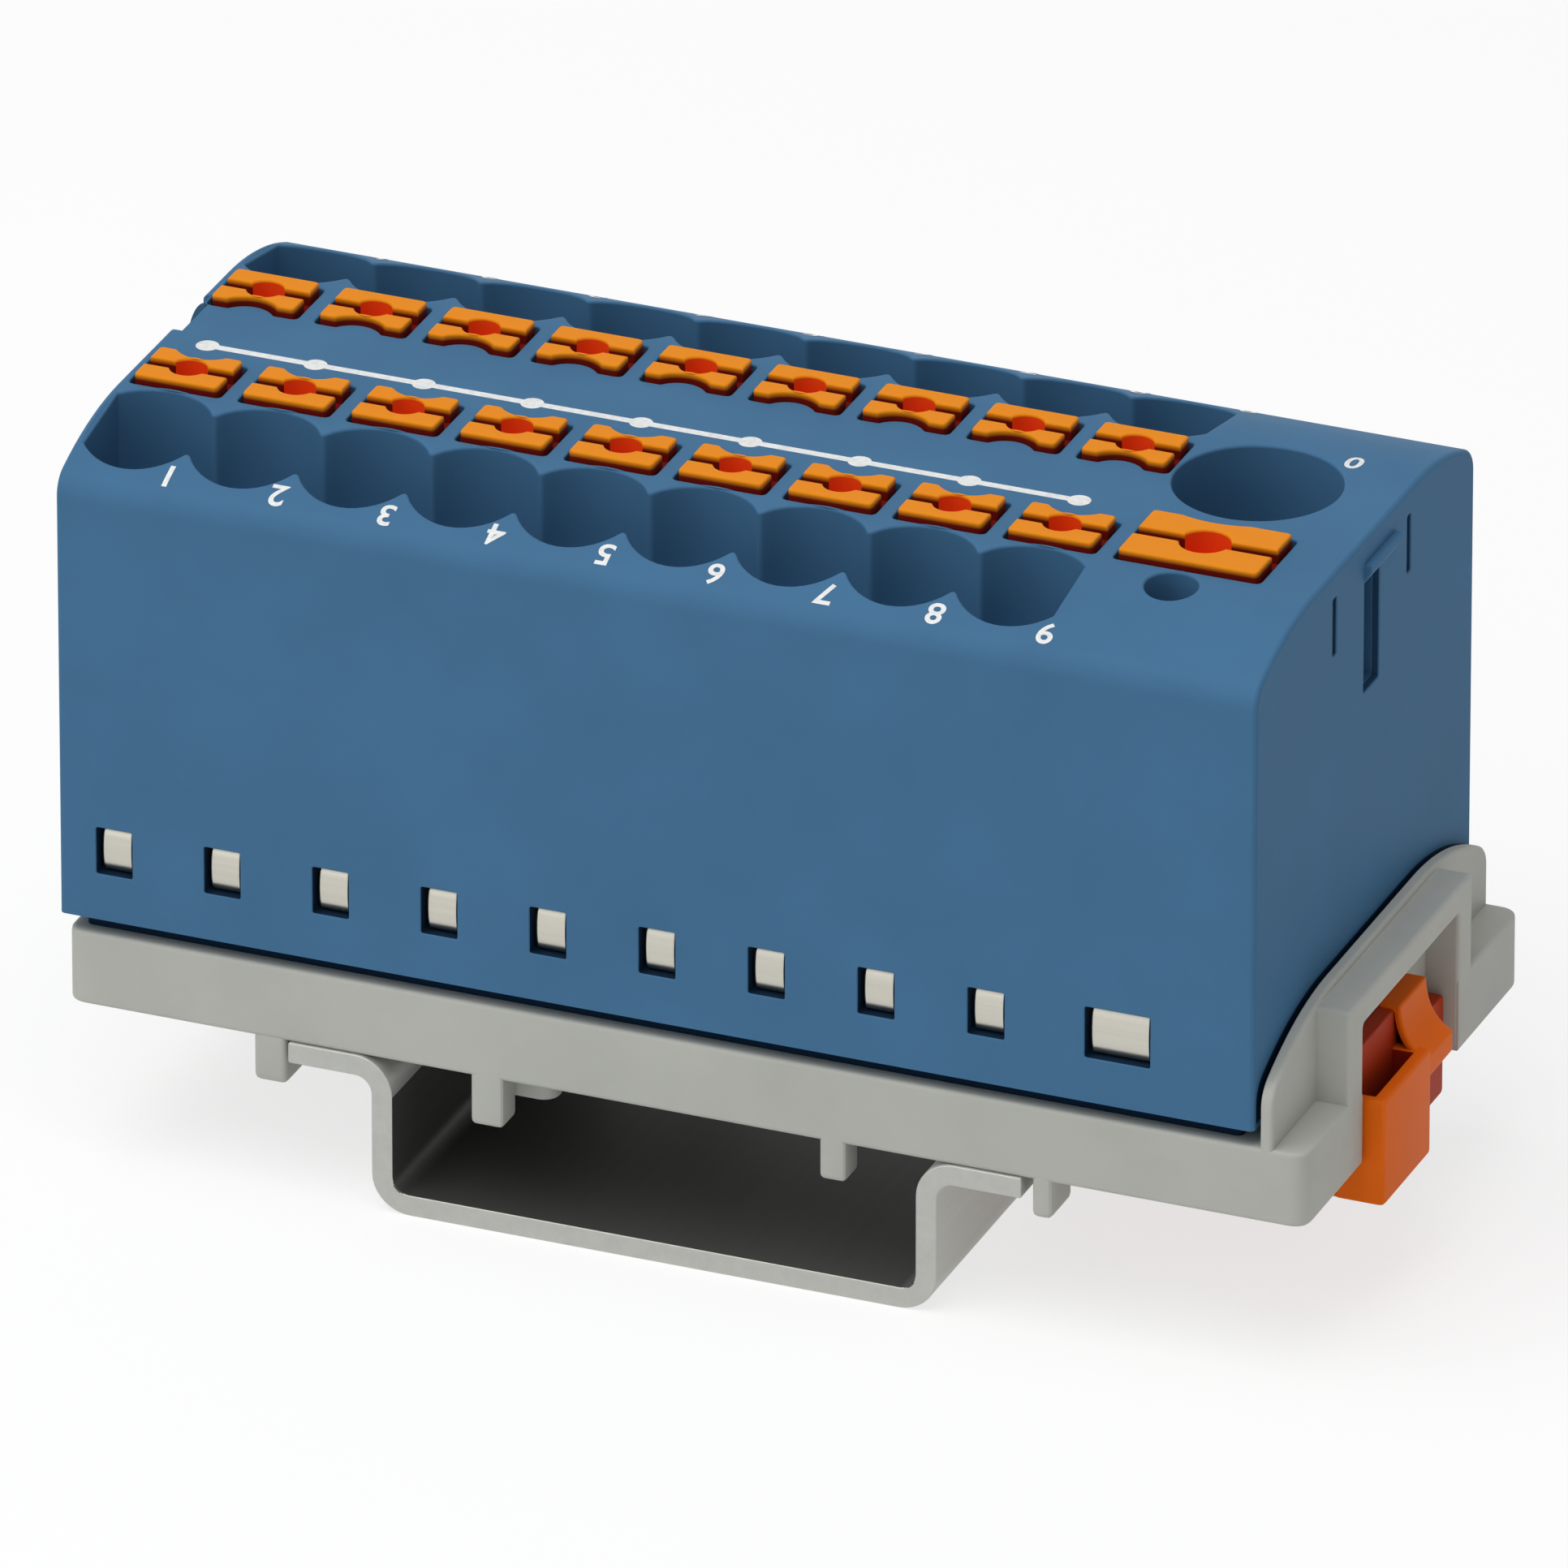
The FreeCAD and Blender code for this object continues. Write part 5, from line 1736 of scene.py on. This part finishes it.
class BLOCK_OT_springs(bpy.types.Operator):
    """Finish the clamp springs of the frame in spring steel"""

    bl_idname = "block.springs"
    bl_label = "Clamp Springs"

    def execute(self, context):
        settings = context.scene.block_metal
        material = plated_metal("spring_steel_strip", tuple(settings.spring_steel), 0.36, 0.2, 0)
        names = ["clamp_spring_" + name for name, _ in PORTS] + ["feed_clamp_spring"]
        for name in names:
            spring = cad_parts[name]
            spring.data.materials.clear()
            spring.data.materials.append(material)
        return {"FINISHED"}


# Stage

def area_lamp(name, place, target, size, power):
    """Soft rectangular lamp that faces a target."""
    data = bpy.data.lights.new(name, "AREA")
    data.shape = "RECTANGLE"
    data.size, data.size_y = size
    data.energy = power
    lamp = bpy.data.objects.new(name, data)
    bpy.context.scene.collection.objects.link(lamp)
    lamp.location = place
    lamp.rotation_euler = (Vector(target) - Vector(place)).to_track_quat("-Z", "Y").to_euler()
    return lamp


def seen_directly(tree):
    """1 for rays from the camera, or by way of a mirror or glass, and 0 for light that surfaces scatter."""
    path = node(tree, "ShaderNodeLightPath")
    shiny = node(tree, "ShaderNodeMath", operation="MAXIMUM")
    tree.links.new(path.outputs["Is Glossy Ray"], shiny.inputs[0])
    tree.links.new(path.outputs["Is Transmission Ray"], shiny.inputs[1])
    direct = node(tree, "ShaderNodeMath", operation="MAXIMUM")
    tree.links.new(path.outputs["Is Camera Ray"], direct.inputs[0])
    tree.links.new(shiny.outputs[0], direct.inputs[1])
    return direct.outputs[0]


def pale_floor(name, rgb, glow):
    """Painted studio sweep: matt, with a glow for rays that see it directly, so that it stays white and keeps
    a soft shadow."""
    material, tree, shader = new_material(name, 0.9)
    shader.inputs["Specular IOR Level"].default_value = 0.0
    shader.inputs["Base Color"].default_value = rgba(rgb)
    paint = node(tree, "ShaderNodeBsdfDiffuse", Color=rgba((1.0, 1.0, 1.0), 1.03 - glow))
    light = node(tree, "ShaderNodeEmission", Color=rgba((1.0, 1.0, 1.0)), Strength=glow)
    lit = node(tree, "ShaderNodeAddShader")
    tree.links.new(paint.outputs[0], lit.inputs[0])
    tree.links.new(light.outputs[0], lit.inputs[1])
    chosen = node(tree, "ShaderNodeMixShader", [("Fac", seen_directly(tree))])
    tree.links.new(shader.outputs[0], chosen.inputs[1])
    tree.links.new(lit.outputs[0], chosen.inputs[2])
    tree.links.new(chosen.outputs[0], tree.nodes["Material Output"].inputs["Surface"])
    return material


def lay_floor(settings):
    """Floor under the block, which takes its soft shadow."""
    half = 1.5  # metres
    data = bpy.data.meshes.new("studio_floor")
    data.from_pydata([(x, y, 0) for x, y in rectangle(-half, -half, half, half)], [], [(0, 1, 2, 3)])
    floor = bpy.data.objects.new("studio_floor", data)
    bpy.context.scene.collection.objects.link(floor)
    data.materials.append(pale_floor("painted_sweep", tuple(settings.floor), settings.floor_glow))


def hang_lamps():
    """Three soft lamps that face the block."""
    target = (0.0, 0.0, 18 * MM)
    lamps = [
        area_lamp("softbox_above", (-0.10, -0.20, 0.62), target, (0.6, 0.6), 2.9),
        area_lamp("softbox_left", (-0.45, -0.50, 0.28), target, (0.35, 0.45), 0.5),
        area_lamp("softbox_right", (0.60, -0.20, 0.30), target, (0.35, 0.45), 0.1),
    ]


def light_world(settings):
    """Even light from all round, which looks white where it is seen directly."""
    world = bpy.data.worlds.new("studio_world")
    bpy.context.scene.world = world
    world.use_nodes = True
    tree = world.node_tree
    background = tree.nodes["Background"]
    background.inputs["Color"].default_value = (1.0, 1.0, 1.0, 1.0)
    strength = node(
        tree, "ShaderNodeMapRange", [("Value", seen_directly(tree))],
        To_Min=settings.fill, To_Max=1.0, clamp=True,
    )
    tree.links.new(strength.outputs["Result"], background.inputs["Strength"])


def set_camera(settings):
    """Camera that shows the block as the photograph does."""
    turn, rise = settings.azimuth, settings.elevation
    back = Vector((math.sin(turn) * math.cos(rise), -math.cos(turn) * math.cos(rise), math.sin(rise)))
    right = Vector((math.cos(turn), math.sin(turn), 0))
    up = back.cross(right)
    # The point that the middle of the photograph shows
    aim = Vector((0.2, -0.2, 21.9)) * MM + right * 0.7 * MM - up * 3.81 * MM
    camera_data = bpy.data.cameras.new("photo_camera")
    camera_data.sensor_width = 36.0
    camera_data.lens = settings.lens
    camera_data.clip_start = 0.05
    camera_data.clip_end = 20.0
    camera = bpy.data.objects.new("photo_camera", camera_data)
    bpy.context.scene.collection.objects.link(camera)
    camera.location = aim + back * settings.distance
    camera.rotation_mode = "QUATERNION"
    camera.rotation_quaternion = back.to_track_quat("Z", "Y")
    bpy.context.scene.camera = camera


class BLOCK_OT_stage(bpy.types.Operator):
    """Make the floor, the lamps, the world and the camera"""

    bl_idname = "block.stage"
    bl_label = "Stage"

    def execute(self, context):
        settings = context.scene.block_stage
        lay_floor(settings)
        hang_lamps()
        light_world(settings)
        set_camera(settings)
        context.scene.view_settings.view_transform = "Standard"
        return {"FINISHED"}


class BLOCK_PT_sidebar(bpy.types.Panel):
    """Operators and settings of the distribution block"""

    bl_idname = "BLOCK_PT_sidebar"
    bl_label = "Distribution Block"
    bl_space_type = "VIEW_3D"
    bl_region_type = "UI"
    bl_category = "Distribution Block"

    def draw(self, context):
        layout = self.layout
        for operator in OPERATORS:
            layout.operator(operator.bl_idname)
        for attribute, group in GROUPS.items():
            layout.label(text=attribute.replace("_", " ").title())
            settings = getattr(context.scene, attribute)
            for name in group.__annotations__:
                layout.prop(settings, name)


GROUPS = {
    "block_housing": BlockHousingSettings,
    "block_buttons": BlockButtonSettings,
    "block_metal": BlockMetalSettings,
    "block_adapter": BlockAdapterSettings,
    "block_print": BlockPrintSettings,
    "block_stage": BlockStageSettings,
}
OPERATORS = (
    BLOCK_OT_housing,
    BLOCK_OT_buttons,
    BLOCK_OT_current_bar,
    BLOCK_OT_springs,
    BLOCK_OT_adapter,
    BLOCK_OT_latch,
    BLOCK_OT_rail,
    BLOCK_OT_print,
    BLOCK_OT_stage,
)


def register():
    """Registers the settings, the operators and the panel."""
    for attribute, group in GROUPS.items():
        bpy.utils.register_class(group)
        setattr(bpy.types.Scene, attribute, PointerProperty(type=group))
    for entry in OPERATORS + (BLOCK_PT_sidebar,):
        bpy.utils.register_class(entry)


def unregister():
    """Takes the panel, the operators and the settings out again."""
    for entry in reversed(OPERATORS + (BLOCK_PT_sidebar,)):
        bpy.utils.unregister_class(entry)
    for attribute, group in GROUPS.items():
        delattr(bpy.types.Scene, attribute)
        bpy.utils.unregister_class(group)


def main():
    """Builds every piece and the stage."""
    register()
    for operator in OPERATORS:
        getattr(bpy.ops.block, operator.bl_idname.split(".")[1])()


if __name__ == "__main__":
    main()
